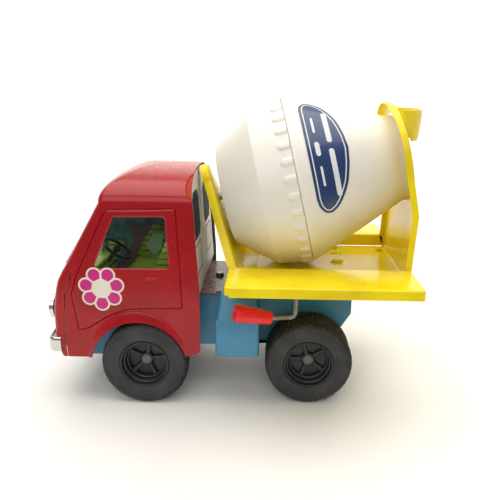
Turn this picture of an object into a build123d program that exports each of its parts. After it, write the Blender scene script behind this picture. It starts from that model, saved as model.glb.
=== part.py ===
"""Pressed-tin toy cement mixer truck: every separate piece as its own solid.

Frame: origin under the middle of the truck at ground level, X from cab to tail,
Y across the truck (its left side is -Y), Z up. Millimetres.
"""
import os
from math import cos, radians, sin, tan

from build123d import *

# ---------------------------------------------------------------- driving dimensions
TIN = 0.8                       # pressed sheet, painted
FRONT_X = -102.6                # front of the bumper

WHEEL_R = 24.2
FRONT_AXLE_X = -48.0
REAR_AXLE_X = 42.6
AXLE_R = 1.5
FRONT_TYRE_OUT = 46.5           # outer face of the front tyres, from the middle
REAR_TYRE_OUT = 43.0
TYRE_WIDTH = 10.5
TWIN_GAP = 0.6                  # between the two tyres of a rear pair
HUB_R = 13.6                    # tyre seat on the hub
HUB_HOLE_R = 12.2
CAP_SEAT = 6.8                  # depth of the axle's end behind the tyre's face
HUB_DISC = 8.9                  # depth of the hub's recessed disc

CAB_HALF = 46.0
CAB_TOP_HALF = 44.2
CAB_BOTTOM = 28.0
CAB_FOLD_Z = 113.5              # where the sides turn into the roof
CAB_TOP = 129.3
CAB_REAR_X = -17.0
CAB_NOSE_X = -99.4
WIND_LOW = (-93.6, 79.4)        # windscreen foot, on the middle line
WIND_TOP = (-72.2, 113.6)
ARCH_X = -50.0
ARCH_Z = 23.4
ARCH_R = 27.0

COVER_Z = 60.7                  # top of the chassis cover
COVER_HALF = 30.0
CHASSIS_TOP = COVER_Z - TIN
CHASSIS_LOW = 28.0
CHASSIS_HALF = 27.0
CHASSIS_TAIL_HALF = 20.5
CHASSIS_NOSE_X = -84.0
APRON_LOW = 20.0                # the chassis hangs lower in front of the axle
APRON_REAR_X = -64.0
CHASSIS_TAIL_X = 67.5
CHASSIS_STEP_X = 14.0
WALL = 2.0                      # moulded plastic wall

BED_FRONT = -1.8
BED_REAR = 95.4
BED_HALF = 36.8
FLAP_HALF = 67.8
FLAP_Z = 78.3
FLOOR_Z = 70.5
LIP = 5.3

HINGE = (62.0, 68.1)
HINGE_EAR = 18.0                # bracket ears, from the middle; they pass through slots in the bed floor
SHAFT_X = 33.8
THROW = HINGE[0] - SHAFT_X      # makes the lever turn exactly twice the bed's angle
WIRE_R = 1.25
ARM_Y = -50.5
ARM_DROP = 12.0
CRANK_HALF = 13.0

PLATE_FOOT_X = 4.7              # front support, where it leaves the bed floor
PLATE_TILT = 19.5
PLATE_LENGTH = 63.0
PLATE_FLANGE = 4.8

ARCH_BEND = (97.0, 107.4)       # rear support, where it turns forward
SUPPORT_TILT = 12.0
SUPPORT_HALF = 37.4
SUPPORT_RISE = 58.0
SUPPORT_FLANGE = 3.4

DRUM_TILT = 13.0
DRUM_X = 35.2                   # middle of the drum's joint ring
DRUM_Z = 120.0
DRUM_WALL = 1.6
RING_R = 47.0
SHOULDER_R = 45.3
BASE_R = 29.5
SHOULDER_A = -19.5              # distances along the drum's axis from the joint ring
BASE_A = -41.0
CONE_A = 50.0
CONE_R = 26.4
NECK_A = 61.0
NECK_R = 24.2
OPENING_R = 24.8
RIB_COUNT = 34
LABEL_TURNS = (153, -27)
PIN_R = 2.2

DRUM_AXIS = Plane(origin=(DRUM_X, 0, DRUM_Z), x_dir=(0, 1, 0),
                  z_dir=(cos(radians(DRUM_TILT)), 0, sin(radians(DRUM_TILT))))
FRONT_PLATE = Plane(origin=(PLATE_FOOT_X, 0, FLOOR_Z - TIN), x_dir=(0, 1, 0),
                    z_dir=(cos(radians(PLATE_TILT)), 0, sin(radians(PLATE_TILT))))
REAR_PLATE = Plane(origin=(ARCH_BEND[0], 0, ARCH_BEND[1]), x_dir=(0, 1, 0),
                   z_dir=(cos(radians(SUPPORT_TILT)), 0, sin(radians(SUPPORT_TILT))))

os.makedirs("parts", exist_ok=True)


def save(name, shape):
    """Write one piece, or one group of like pieces, to its own file."""
    export_step(shape, f"parts/{name}.step")


def box(x0, x1, y0, y1, z0, z1):
    """A block given by its limits."""
    middle = ((x0 + x1) / 2, (y0 + y1) / 2, (z0 + z1) / 2)
    return Pos(*middle) * Box(x1 - x0, y1 - y0, z1 - z0)


def rod(x, z, radius, y0, y1):
    """A round bar across the truck."""
    return Pos(x, (y0 + y1) / 2, z) * Rot(90, 0, 0) * Cylinder(radius, abs(y1 - y0))


def side_slab(points, y0, y1):
    """A flat shape drawn in X and Z, given thickness across the truck."""
    face = make_face(Plane.XZ * Polyline(*points, close=True))
    return Pos(0, (y0 + y1) / 2, 0) * extrude(face, abs(y1 - y0) / 2, both=True)


def raised(face, height):
    """A flat shape drawn in X and Y, thickened upwards."""
    return extrude(face, height, dir=(0, 0, 1))


def mirrored(shape):
    return mirror(shape, about=Plane.XZ)


def pair(shape):
    """The piece and its mirror image, as one group of two solids."""
    return Compound(children=[shape, mirrored(shape)])


# ---------------------------------------------------------------- cab
def cab_side_face(inset):
    """Outline of the cab from the side, on its middle line."""
    nose = CAB_NOSE_X + inset
    rake = 1.18 * inset                  # level shift that keeps the sloping sheet's thickness
    low = CAB_BOTTOM + inset
    foot = (WIND_LOW[0] + rake, WIND_LOW[1])
    brow = (WIND_TOP[0] + rake, WIND_TOP[1])
    rear_top = (CAB_REAR_X - 4.4, 128.2 - inset)
    line = Plane.XZ * Polyline((CAB_REAR_X, low), (nose + 2.5, low), (nose, 36), (nose, 56),
                               (nose + 1.6, 68), foot, brow)
    roof = Plane.XZ * Spline(brow, (-64.7 + inset, 123.6 - inset), (-52, 128.2 - inset),
                             (-36, CAB_TOP - inset), rear_top, tangents=((0.5, 1), (1, -0.1)))
    back = Plane.XZ * Line(rear_top, (CAB_REAR_X, low))
    return make_face([*line.edges(), roof, back])


def cab_front_face(inset):
    """Outline of the cab from the front: near-upright sides and a crowned roof."""
    crown = 1.8
    half = CAB_HALF - inset
    top_half = CAB_TOP_HALF - inset
    low = CAB_BOTTOM - 1 + inset
    line = Plane.YZ * Polyline((-top_half, CAB_FOLD_Z), (-half, low), (half, low), (top_half, CAB_FOLD_Z))
    roof = Plane.YZ * Spline((top_half, CAB_FOLD_Z), (24, CAB_TOP - crown * 1.6 - inset),
                             (0, CAB_TOP + 0.2 - inset), (-24, CAB_TOP - crown * 1.6 - inset),
                             (-top_half, CAB_FOLD_Z), tangents=((-0.25, 1), (-0.25, -1)))
    return make_face([*line.edges(), roof])


def cab_plan(nose_x, inset):
    """Outline of the cab from above: a gently bowed nose with round corners."""
    half = CAB_HALF - inset
    corner = 5.5
    bow = 1.2
    nose = nose_x + inset
    arc = ThreePointArc((nose + bow, -half + corner), (nose, 0), (nose + bow, half - corner))
    left = TangentArc((nose + bow, half - corner), (nose + bow + corner, half), tangent=arc % 1)
    right = TangentArc((nose + bow, -half + corner), (nose + bow + corner, -half), tangent=-(arc % 0))
    sides = Polyline(left @ 1, (40, half), (40, -half), right @ 1)
    return make_face([arc, left, right, *sides.edges()])


def cab_block(inset):
    """The cab's outer form as a solid, drawn in by the given inset."""
    long_form = extrude(cab_side_face(inset), CAB_HALF + 2, both=True)
    cross_form = extrude(cab_front_face(inset), 120, both=True)
    foot_x, foot_z = WIND_LOW
    rake = ((WIND_TOP[0] - foot_x), 0, (WIND_TOP[1] - foot_z))
    level = Pos(0, 0, foot_z)
    lower = extrude(level * cab_plan(CAB_NOSE_X, inset), 70, dir=(0, 0, -1))
    upper = extrude(level * cab_plan(foot_x, inset), 70, dir=rake)
    return long_form & cross_form & (lower + upper)


def cab_shells():
    """The tin cab in two pressings: roof with sides, and the lower nose."""
    shell = cab_block(0) - cab_block(TIN)
    shell -= box(CAB_REAR_X - 8, 20, -CAB_HALF + TIN, CAB_HALF - TIN, 0, CAB_FOLD_Z + 8)
    shell -= box(-150, 50, -CAB_HALF + TIN, CAB_HALF - TIN, 0, CAB_BOTTOM + 2)
    shell -= rod(ARCH_X, ARCH_Z, ARCH_R, -60, 60)
    window = [(-73, 79.2), (-60.5, 106.8), (-34.3, 106.8), (-32.8, 79.2)]
    shell -= side_slab(window, -60, 60)
    screen = [(-120, 82), (-70, 82), (-70, 109.5), (-120, 109.5)]
    shell -= side_slab(screen, -37, -2)
    shell -= side_slab(screen, 2, 37)
    seam = [(-120, 76.7), (-88.2, 76.7), (-92.4, 64), (-92.4, 20), (-120, 20)]
    nose = shell & side_slab(seam, -60, 60)
    body = shell - side_slab([(-120, 76.7), (-88, 76.7), (-92.2, 64), (-92.2, 20), (-120, 20)], -60, 60)
    nose -= box(-110, -94, -21, 21, 44, 60)
    save("cab_shell", body)
    save("cab_front_panel", nose)


def cab_fittings():
    """Rear wall, glazing, seats, dashboard, wheel, grille, lamps and bumper."""
    wall = cab_front_face(TIN + 0.05)
    rear = Pos(CAB_REAR_X - 6.0, 0, 0) * extrude(wall, TIN / 2, both=True)
    rear &= box(-60, 0, -60, 60, COVER_Z, CAB_TOP - 2)
    rear -= box(-60, 0, -30, -4, 84, 106)
    rear -= box(-60, 0, 4, 30, 84, 106)
    save("cab_rear_wall", rear)

    outer = [(-75.5, 77.2), (-62, 108.6), (-32.6, 108.6), (-30.8, 77.2)]
    glass = side_slab(outer, -60, 60) & cab_block(TIN + 0.05)
    glass -= cab_block(TIN + 0.65)
    save("side_windows", glass)
    pane = side_slab([(-120, 80), (-66, 80), (-66, 111), (-120, 111)], -39, 39)
    pane = (pane & cab_block(TIN + 0.05)) - cab_block(TIN + 0.65)
    save("windscreen", pane)

    floor = box(-90, CAB_REAR_X - 7, -24, 24, COVER_Z, COVER_Z + TIN)
    save("cab_floor", floor)
    for name, side in (("seat_left", -1), ("seat_right", 1)):
        low = COVER_Z + TIN
        seat = side_slab([(-60, low), (-60, low + 11), (-57, low + 13), (-43, low + 13), (-32, 100),
                          (-28, 100), (-34, low)], side * 21 - 17, side * 21 + 17)
        save(name, seat)
    dash = side_slab([(-86, 66), (-86, 76), (-76, 74.5), (-72, 66)], -36, 36)
    save("dashboard", dash)
    place = Pos(-67, -18, 82) * Rot(0, 38, 0)
    spokes = Box(1.6, 17.2, 1.2) + Cylinder(2.2, 1.6)
    save("steering_wheel", place * (Torus(8.6, 0.9) + spokes + Pos(0, 0, -5) * Cylinder(1.1, 9)))

    grille = box(CAB_NOSE_X - 0.6, CAB_NOSE_X + 1.6, -20.8, 20.8, 44.2, 59.8)
    for row in range(5):
        z = 46.8 + row * 2.65
        grille -= box(CAB_NOSE_X - 1, CAB_NOSE_X + 0.6, -19, 19, z - 0.8, z + 0.8)
    save("grille", grille)

    for name, side in (("headlamp_left", -1), ("headlamp_right", 1)):
        place = Pos(CAB_NOSE_X - 1.2, side * 31, 52) * Rot(0, -90, 0)
        bezel = place * (Cylinder(7.2, 2.4) - Pos(0, 0, 0.6) * Cylinder(5.7, 2.4))
        save(name, bezel)
        lens = Pos(CAB_NOSE_X - 1.3, side * 31, 52) * Rot(0, -90, 0) * Cylinder(5.5, 0.9)
        save(name + "_lens", lens)

    bar = box(FRONT_X, FRONT_X + 1.4, -42, 42, 31.2, 39.6)
    corner = Pos(FRONT_X + 5.2, -42, 35.4) * (Cylinder(5.2, 8.4) - Cylinder(3.8, 8.4))
    corner &= box(FRONT_X, FRONT_X + 5.2, -47.2, -42, 31.2, 39.6)
    bend = box(FRONT_X + 5.2, FRONT_X + 9.4, -47.2, -45.8, 31.2, 39.6)
    save("front_bumper", bar + corner + bend + mirrored(corner + bend))
    stay = box(FRONT_X + 1.4, CAB_NOSE_X, 14, 20, 33.4, 37.4)
    save("bumper_stays", pair(stay))


def flower(side):
    """A seven-petal paper flower stuck to the door, one petal straight down."""
    radius = 12.6
    centre = Circle(radius * 0.45)
    for petal in range(7):
        angle = 360 / 7 * petal + 90 * side
        centre += Rot(0, 0, angle) * Pos(radius * 0.65, 0) * Circle(radius * 0.35)
    lean = (CAB_HALF - CAB_TOP_HALF) / (CAB_FOLD_Z - CAB_BOTTOM)
    y = CAB_HALF - lean * (68 - CAB_BOTTOM)
    place = Plane(origin=(-68.5, side * (y + 0.02), 68), x_dir=(1, 0, 0), z_dir=(0, side, lean))
    return place * raised(centre, 0.2)


# ---------------------------------------------------------------- chassis
def tank(side):
    """Moulded tank on the chassis side: an upright box with a sloping shoulder."""
    low = side_slab([(-8.6, 30.2), (15.1, 30.2), (15.1, 51.6), (-8.6, 51.6)], -47, -CHASSIS_HALF)
    low = fillet(low.edges().filter_by(Axis.Z).group_by(Axis.Y)[0], 2.2)
    low = fillet(low.edges().group_by(Axis.Z)[0] + low.edges().group_by(Axis.Z)[-1], 1.0)
    foot = Pos(3.25, -36.6, 51) * RectangleRounded(22.4, 19.2, 2)
    head = Pos(3.25, -33.5, 63.6) * RectangleRounded(18.6, 13, 2)
    shoulder = loft([foot.face(), head.face()])
    whole = low + shoulder
    return whole if side < 0 else mirrored(whole)


def chassis():
    """Blue moulded chassis: a long open-bottomed box with tanks on both sides."""
    front = box(CHASSIS_NOSE_X, CHASSIS_STEP_X, -CHASSIS_HALF, CHASSIS_HALF, CHASSIS_LOW, CHASSIS_TOP)
    front += box(CHASSIS_NOSE_X, APRON_REAR_X, -CHASSIS_HALF, CHASSIS_HALF, APRON_LOW, CHASSIS_LOW)
    tail_side = [(CHASSIS_STEP_X, CHASSIS_LOW), (56, CHASSIS_LOW), (CHASSIS_TAIL_X, 46),
                 (CHASSIS_TAIL_X, CHASSIS_TOP), (CHASSIS_STEP_X, CHASSIS_TOP)]
    tail = side_slab(tail_side, -CHASSIS_TAIL_HALF, CHASSIS_TAIL_HALF)
    body = front + tail + tank(-1) + tank(1)
    body -= rod(FRONT_AXLE_X, WHEEL_R, 3.6, -80, 80) + box(
        FRONT_AXLE_X - 3.6, FRONT_AXLE_X + 3.6, -80, 80, 0, WHEEL_R)
    hollow = box(CHASSIS_NOSE_X + WALL, CHASSIS_STEP_X - WALL, -CHASSIS_HALF + WALL, CHASSIS_HALF - WALL,
                 0, CHASSIS_TOP - WALL)
    tail_hollow = box(CHASSIS_STEP_X - WALL, CHASSIS_TAIL_X - 13.5, -CHASSIS_TAIL_HALF + WALL,
                      CHASSIS_TAIL_HALF - WALL, 0, CHASSIS_TOP - WALL)
    body -= hollow + tail_hollow
    body -= pair(box(-6.6, 13.1, -45, -CHASSIS_HALF, 0, 49))
    for x in (FRONT_AXLE_X, REAR_AXLE_X):
        half = CHASSIS_HALF if x < 0 else CHASSIS_TAIL_HALF
        post = box(x - 6, x + 6, half - WALL - 3, half - 0.01, WHEEL_R - 5, CHASSIS_TOP - 1)
        body += post + mirrored(post)
        body -= rod(x, WHEEL_R, AXLE_R + 0.06, -80, 80)
    return body


def cover():
    """Flat tin cover over the chassis, narrower between the tanks and at the tail."""
    wide = box(-75, -9.2, -COVER_HALF, COVER_HALF, COVER_Z - TIN, COVER_Z)
    middle = box(-9.2, 15, -CHASSIS_HALF + 0.2, CHASSIS_HALF - 0.2, COVER_Z - TIN, COVER_Z)
    tail_half = CHASSIS_TAIL_HALF + 0.8
    tail = box(15, CHASSIS_TAIL_X, -tail_half, tail_half, COVER_Z - TIN, COVER_Z)
    return wide + middle + tail


def main_chassis():
    save("chassis", chassis())
    save("chassis_cover", cover())
    screws = []
    for x, y in ((-10.1, 0), (55, 0)):
        head = Pos(x, y, COVER_Z) * Sphere(2.6) & box(x - 3, x + 3, y - 3, y + 3, COVER_Z, COVER_Z + 2)
        screws.append(head)
    save("cover_screws", Compound(children=screws))


# ---------------------------------------------------------------- running gear
def tyre(outer_face, side):
    """Rubber tyre with shallow tread blocks at both shoulders."""
    half = TYRE_WIDTH / 2
    y = outer_face - half
    profile = Polyline((HUB_R, -half + 0.8), (HUB_R + 1.5, -half), (WHEEL_R - 3.5, -half),
                       (WHEEL_R - 0.9, -half + 1.3), (WHEEL_R, -half + 3), (WHEEL_R, half - 3),
                       (WHEEL_R - 0.9, half - 1.3), (WHEEL_R - 3.5, half), (HUB_R + 1.5, half),
                       (HUB_R, half - 0.8), close=True)
    ring = revolve(make_face(profile), Axis.Y)
    return Pos(0, side * y, 0) * ring


def hub(outer_face, width, side):
    """Spoked plastic hub: rim barrel, recessed disc, five spokes and a boss."""
    half = width / 2
    rim = Rot(90, 0, 0) * (Cylinder(HUB_R, width) - Cylinder(HUB_HOLE_R, width))
    disc = Pos(0, half - HUB_DISC, 0) * Rot(90, 0, 0) * Cylinder(HUB_HOLE_R + 0.2, 1.6)
    boss = rod(0, 0, 3.6, half - HUB_DISC, half - CAP_SEAT)
    body = rim + disc + boss
    for spoke in range(5):
        arm = Pos(HUB_HOLE_R / 2 + 0.6, half - HUB_DISC + 0.8, 0) * Box(HUB_HOLE_R - 1, 2.0, 2.2)
        body += Rot(0, 72 * spoke - 8, 0) * arm
    body += rod(0, 0, 4.5, -half, half - HUB_DISC)
    body -= Rot(90, 0, 0) * Cylinder(AXLE_R, 60)
    body = Pos(0, outer_face - half, 0) * body
    return body if side > 0 else mirrored(body)


def cap(outer_face, side):
    """Pressed cap nut on the axle's end."""
    y = outer_face - CAP_SEAT + 0.75
    dome = Pos(0, y, 0) * Rot(-90, 0, 0) * Cylinder(2.9, 1.5)
    dome = fillet(dome.edges().group_by(Axis.Y)[-1], 0.6)
    return dome if side > 0 else mirrored(dome)


def running_gear():
    front = Pos(FRONT_AXLE_X, 0, WHEEL_R)
    rear = Pos(REAR_AXLE_X, 0, WHEEL_R)
    twin = 2 * TYRE_WIDTH + TWIN_GAP
    save("front_axle", front * rod(0, 0, AXLE_R, -FRONT_TYRE_OUT + CAP_SEAT, FRONT_TYRE_OUT - CAP_SEAT))
    save("rear_axle", rear * rod(0, 0, AXLE_R, -REAR_TYRE_OUT + CAP_SEAT, REAR_TYRE_OUT - CAP_SEAT))
    for word, side in (("left", -1), ("right", 1)):
        save(f"front_tyre_{word}", front * tyre(FRONT_TYRE_OUT, side))
        save(f"front_hub_{word}", front * hub(FRONT_TYRE_OUT, TYRE_WIDTH, side))
        save(f"front_cap_{word}", front * cap(FRONT_TYRE_OUT, side))
        save(f"rear_outer_tyre_{word}", rear * tyre(REAR_TYRE_OUT, side))
        save(f"rear_inner_tyre_{word}", rear * tyre(REAR_TYRE_OUT - TYRE_WIDTH - TWIN_GAP, side))
        save(f"rear_hub_{word}", rear * hub(REAR_TYRE_OUT, twin, side))
        save(f"rear_cap_{word}", rear * cap(REAR_TYRE_OUT, side))


# ---------------------------------------------------------------- lever
def lever():
    """Bent wire: outside arm, cross shaft and an inner crank, with a moulded grip."""
    z = HINGE[1]
    grip_start = (20.5, ARM_Y - 2.2, z - ARM_DROP)
    points = [(14, ARM_Y - 3.6, z - ARM_DROP + 1.6), grip_start, (SHAFT_X, ARM_Y, z - ARM_DROP),
              (SHAFT_X, ARM_Y, z), (SHAFT_X, -CRANK_HALF, z), (SHAFT_X - THROW, -CRANK_HALF, z),
              (SHAFT_X - THROW, CRANK_HALF, z), (SHAFT_X, CRANK_HALF, z), (SHAFT_X, 24, z)]
    path = FilletPolyline(*points, radius=[20, 2.6, 2.6, 2.6, 2.6, 2.6, 2.6])
    wire = sweep(Plane(origin=path @ 0, z_dir=path % 0) * Circle(WIRE_R), path=path)
    save("lever_wire", wire)
    big = (2.8, ARM_Y - 6.4, z - ARM_DROP + 4.4)
    small = (21.5, ARM_Y - 2.1, z - ARM_DROP)
    along = Vector(*big) - Vector(*small)
    place = Plane(origin=small, z_dir=along)
    grip = place * Pos(0, 0, along.length / 2) * Cone(3.5, 5.0, along.length)
    grip = fillet(grip.edges().group_by(Axis.X)[0], 1.2)
    save("lever_grip", grip - wire)


def lever_saddles():
    """Two tin ears that carry the lever's shaft on the cover."""
    shapes = []
    for y in (-18.6, 18.6):
        ear = side_slab([(SHAFT_X - 5, COVER_Z), (SHAFT_X + 5, COVER_Z), (SHAFT_X + 2, 69.2),
                         (SHAFT_X - 2, 69.2)], y - 0.5, y + 0.5)
        foot = box(SHAFT_X - 5, SHAFT_X + 5, y - 3.5, y + 3.5, COVER_Z, COVER_Z + TIN)
        shapes.append(ear + foot - rod(SHAFT_X, HINGE[1], WIRE_R + 0.06, y - 5, y + 5))
    save("lever_saddles", Compound(children=shapes))


def hinge():
    """Bracket on the chassis tail and the pin that the bed turns on."""
    x, z = HINGE
    ear = side_slab([(x - 6, COVER_Z), (x + 5, COVER_Z), (x + 2, z + 1.3), (x - 2, z + 1.3)],
                    HINGE_EAR - TIN / 2, HINGE_EAR + TIN / 2)
    foot = box(x - 6, x + 5, -HINGE_EAR, HINGE_EAR, COVER_Z, COVER_Z + TIN)
    foot -= Pos(55, 0, COVER_Z) * Cylinder(3.2, 6)
    bracket = ear + mirrored(ear) + foot - rod(x, z, WIRE_R + 0.06, -40, 40)
    save("hinge_bracket", bracket)
    save("hinge_pin", rod(x, z, WIRE_R, -25.4, 25.4))


# ---------------------------------------------------------------- mixer bed
def bed():
    """Pressed bed: channel floor, low walls, wide flaps with folded lips, hinge ears."""
    floor = box(BED_FRONT, BED_REAR, -BED_HALF, BED_HALF, FLOOR_Z - TIN, FLOOR_Z)
    wall = box(BED_FRONT, BED_REAR, BED_HALF - TIN, BED_HALF, FLOOR_Z - TIN, FLAP_Z)
    flap = box(BED_FRONT, BED_REAR, BED_HALF - TIN, FLAP_HALF, FLAP_Z - TIN, FLAP_Z)
    side_lip = box(BED_FRONT, BED_REAR, FLAP_HALF - TIN, FLAP_HALF, FLAP_Z - LIP, FLAP_Z)
    end_lip = box(BED_FRONT, BED_FRONT + TIN, BED_HALF + 3, FLAP_HALF, FLAP_Z - LIP, FLAP_Z)
    back_lip = box(BED_REAR - TIN, BED_REAR, BED_HALF + 3, FLAP_HALF, FLAP_Z - LIP, FLAP_Z)
    half = wall + flap + side_lip + end_lip + back_lip
    half = fillet(half.edges().filter_by(
        lambda e: e.center().Z > FLAP_Z - 0.01 and e.center().Y > FLAP_HALF - 0.1), 0.7)
    shape = floor + half + mirrored(half)
    for y in (-28, 0, 28):
        shape -= box(56.5, 65, y - 1.6, y + 1.6, FLOOR_Z - 2, FLOOR_Z + 1)
    x, z = HINGE
    for y in (-HINGE_EAR, HINGE_EAR):
        shape -= box(x - 3.4, x + 3.4, y - 1, y + 1, FLOOR_Z - 2, FLOOR_Z + 1)
    ear = side_slab([(x - 4, FLOOR_Z - TIN), (x - 1.9, z - 1.6), (x + 1.9, z - 1.6), (x + 4, FLOOR_Z - TIN)],
                    24, 24.8) - rod(x, z, WIRE_R, 20, 30)
    shape += ear + mirrored(ear)
    shape += box(57.5, 64, -0.4, 0.4, FLOOR_Z - TIN, FLOOR_Z + 1.8) + box(
        56, 57.6, -0.4, 0.4, FLOOR_Z - TIN, FLOOR_Z + 1.8)
    return shape


def plate_outline(inset):
    """Tall rounded triangle with slightly bowed sides."""
    foot = 35.2 - inset
    left = Spline((-foot, 1), (-21.8 + inset, 31), (-6.6 + inset * 0.8, PLATE_LENGTH - 6 - inset * 0.6))
    tip = ThreePointArc((-6.6 + inset * 0.8, PLATE_LENGTH - 6 - inset * 0.6), (0, PLATE_LENGTH - inset),
                        (6.6 - inset * 0.8, PLATE_LENGTH - 6 - inset * 0.6))
    right = Spline((6.6 - inset * 0.8, PLATE_LENGTH - 6 - inset * 0.6), (21.8 - inset, 31), (foot, 1))
    base = Line((foot, 1), (-foot, 1))
    return make_face([left, tip, right, base])


def front_support():
    """Tilted triangular plate with an edge flange towards the cab, and its foot."""
    flipped = Plane(origin=FRONT_PLATE.origin, x_dir=(0, -1, 0), z_dir=-FRONT_PLATE.z_dir)
    plate = flipped * raised(plate_outline(0), TIN)
    skirt = flipped * (raised(plate_outline(0), PLATE_FLANGE) - raised(plate_outline(TIN), PLATE_FLANGE))
    skirt &= box(-60, 60, -60, 60, FLOOR_Z + 1.2, 200)
    foot = box(PLATE_FOOT_X - 0.4, PLATE_FOOT_X + 8, -34, 34, FLOOR_Z, FLOOR_Z + TIN)
    shape = plate + skirt
    shape &= box(-60, 60, -60, 60, FLOOR_Z, 200)
    shape += foot
    shape -= DRUM_AXIS * Pos(0, 0, BASE_A - 8) * Cylinder(PIN_R, 30)
    return shape


def support_outline(half, rise, low=0.0):
    """Upright sides and a flattened round top."""
    spring = SUPPORT_RISE * 0.54
    sides = Pos(0, (spring + low) / 2) * Rectangle(2 * half, spring - low)
    return sides + Pos(0, spring) * Ellipse(half, rise - spring)


def rear_support():
    """Bent arch: lower leg rising from the bed, upper ring around the drum's neck."""
    back = Plane(origin=REAR_PLATE.origin, x_dir=(0, -1, 0), z_dir=-REAR_PLATE.z_dir)
    ring = back * raised(support_outline(SUPPORT_HALF, SUPPORT_RISE, -0.6), TIN)
    edge = raised(support_outline(SUPPORT_HALF, SUPPORT_RISE), SUPPORT_FLANGE)
    edge -= raised(support_outline(SUPPORT_HALF - TIN, SUPPORT_RISE - TIN, -5), SUPPORT_FLANGE)
    upper = ring + back * edge
    opening = DRUM_AXIS * Pos(0, 0, 58) * Cylinder(OPENING_R, 14)
    upper -= opening
    low_x = BED_REAR - TIN
    bend_x, bend_z = ARCH_BEND
    web = side_slab([(low_x, FLOOR_Z), (low_x + TIN, FLOOR_Z), (bend_x, bend_z), (bend_x - TIN, bend_z)],
                    -SUPPORT_HALF + 0.1, SUPPORT_HALF - 0.1)
    inside = BED_HALF - TIN - 0.02
    web -= pair(box(80, 110, -60, -inside, 60, FLAP_Z))
    sides = side_slab([(low_x - SUPPORT_FLANGE + 1, FLAP_Z), (low_x + 1.2 * TIN, FLAP_Z), (bend_x, bend_z),
                       (bend_x - SUPPORT_FLANGE, bend_z)], SUPPORT_HALF - TIN, SUPPORT_HALF)
    lower = web + sides + mirrored(sides)
    shape = upper + lower
    foot = box(low_x - 8, low_x + 0.5, -34, 34, FLOOR_Z, FLOOR_Z + TIN)
    return shape + foot - opening


def funnel():
    """Open-topped half funnel behind the support's top."""
    def half_cone(grow):
        rim = Pos(88.4, 0, 160) * Ellipse(14.2 + grow, 19 + grow)
        toe = Pos(95.6, 0, 143.5) * Ellipse(5 + grow, 9 + grow)
        return loft([rim.face(), toe.face()])
    shell = half_cone(0) - half_cone(-TIN)
    behind = side_slab([(ARCH_BEND[0] + 0.02, ARCH_BEND[1]),
                        (ARCH_BEND[0] + 0.02 - 70 * tan(radians(SUPPORT_TILT)), ARCH_BEND[1] + 70),
                        (140, 190), (140, 100)], -60, 60)
    neck = DRUM_AXIS * Pos(0, 0, NECK_A + 0.6 - 15) * Cylinder(NECK_R + 0.6, 30)
    return (shell & behind) - neck


def mixer_bed():
    save("mixer_bed", bed())
    save("front_support", front_support())
    save("rear_support", rear_support())
    save("pouring_funnel", funnel())
    rivets = []
    for x in (PLATE_FOOT_X + 4.6, BED_REAR - 5.4):
        for y in (-26, 26):
            rivets.append(Pos(x, y, FLOOR_Z + TIN + 0.4) * Cylinder(1.8, 0.8))
    save("support_rivets", Compound(children=rivets))


# ---------------------------------------------------------------- drum
def shell_of_revolution(points):
    """A thin shell turned about the drum's axis: points are (radius, distance)."""
    face = make_face(Plane.XZ * Polyline(*points, close=True))
    return DRUM_AXIS * revolve(face, Axis.Z)


def drum_base_shell():
    """Half of the drum towards the cab, with the ring of moulded ribs."""
    wall = DRUM_WALL
    shell = shell_of_revolution([
        (PIN_R + 0.05, BASE_A), (BASE_R, BASE_A), (SHOULDER_R, SHOULDER_A), (RING_R, -0.1),
        (RING_R - wall, -0.1), (SHOULDER_R - wall, SHOULDER_A + 0.4), (BASE_R - 0.7, BASE_A + wall),
        (5, BASE_A + wall), (5, BASE_A + 6), (PIN_R + 0.05, BASE_A + 6)])
    for rib in range(RIB_COUNT):
        angle = 360 / RIB_COUNT * rib
        bar = Pos(RING_R - 0.8, 0, -3.15) * Box(2.4, 3.4, 5.9)
        nose = Pos(RING_R - 0.8, 0, -6.1) * Rot(0, 90, 0) * Cylinder(1.7, 2.4)
        shell += DRUM_AXIS * Rot(0, 0, angle) * (bar + nose)
    return shell


def drum_cone_shell():
    """Half of the drum towards the tail: long cone, rounded shoulder and open neck."""
    wall = DRUM_WALL
    return shell_of_revolution([
        (RING_R + 0.3, 0), (RING_R + 0.3, 1.6), (CONE_R, CONE_A), (NECK_R + 1.2, CONE_A + 3.2),
        (NECK_R, CONE_A + 4.4), (NECK_R, NECK_A), (NECK_R - wall, NECK_A), (NECK_R - wall, CONE_A + 4),
        (CONE_R - wall, CONE_A - 1), (RING_R - wall, 1.2), (RING_R - wall, 0)])


def drum_label(turn):
    """Thin rounded label that wraps the cone, its flat side along the joint ring."""
    slope = (RING_R + 0.3 - CONE_R) / (CONE_A - 1.6)
    rim = [(7.3, 33), (8, 38.5), (10.5, 44), (14, 46), (17.5, 43.8), (20, 40), (23, 33), (25, 26.5),
           (27.2, 14), (28.3, 0)]
    outline = []
    for along, angle in rim + [(along, -angle) for along, angle in reversed(rim[:-1])]:
        outline.append((along, 0.86 * RING_R * sin(radians(angle))))
    slab = extrude(make_face(Plane.XY * Polyline(*outline, close=True)), 60, dir=(0, 0, 1))
    slab = Plane(origin=(0, 0, 0), x_dir=(0, 0, 1), z_dir=(1, 0, 0)) * slab
    start = RING_R + 0.3 + slope * 1.6
    outer = Cone(start + 0.35, start + 0.35 - slope * 40, 40, align=(Align.CENTER, Align.CENTER, Align.MIN))
    inner = Cone(start + 0.1, start + 0.1 - slope * 40, 40, align=(Align.CENTER, Align.CENTER, Align.MIN))
    return DRUM_AXIS * Rot(0, 0, turn) * ((outer - inner) & slab)


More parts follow.
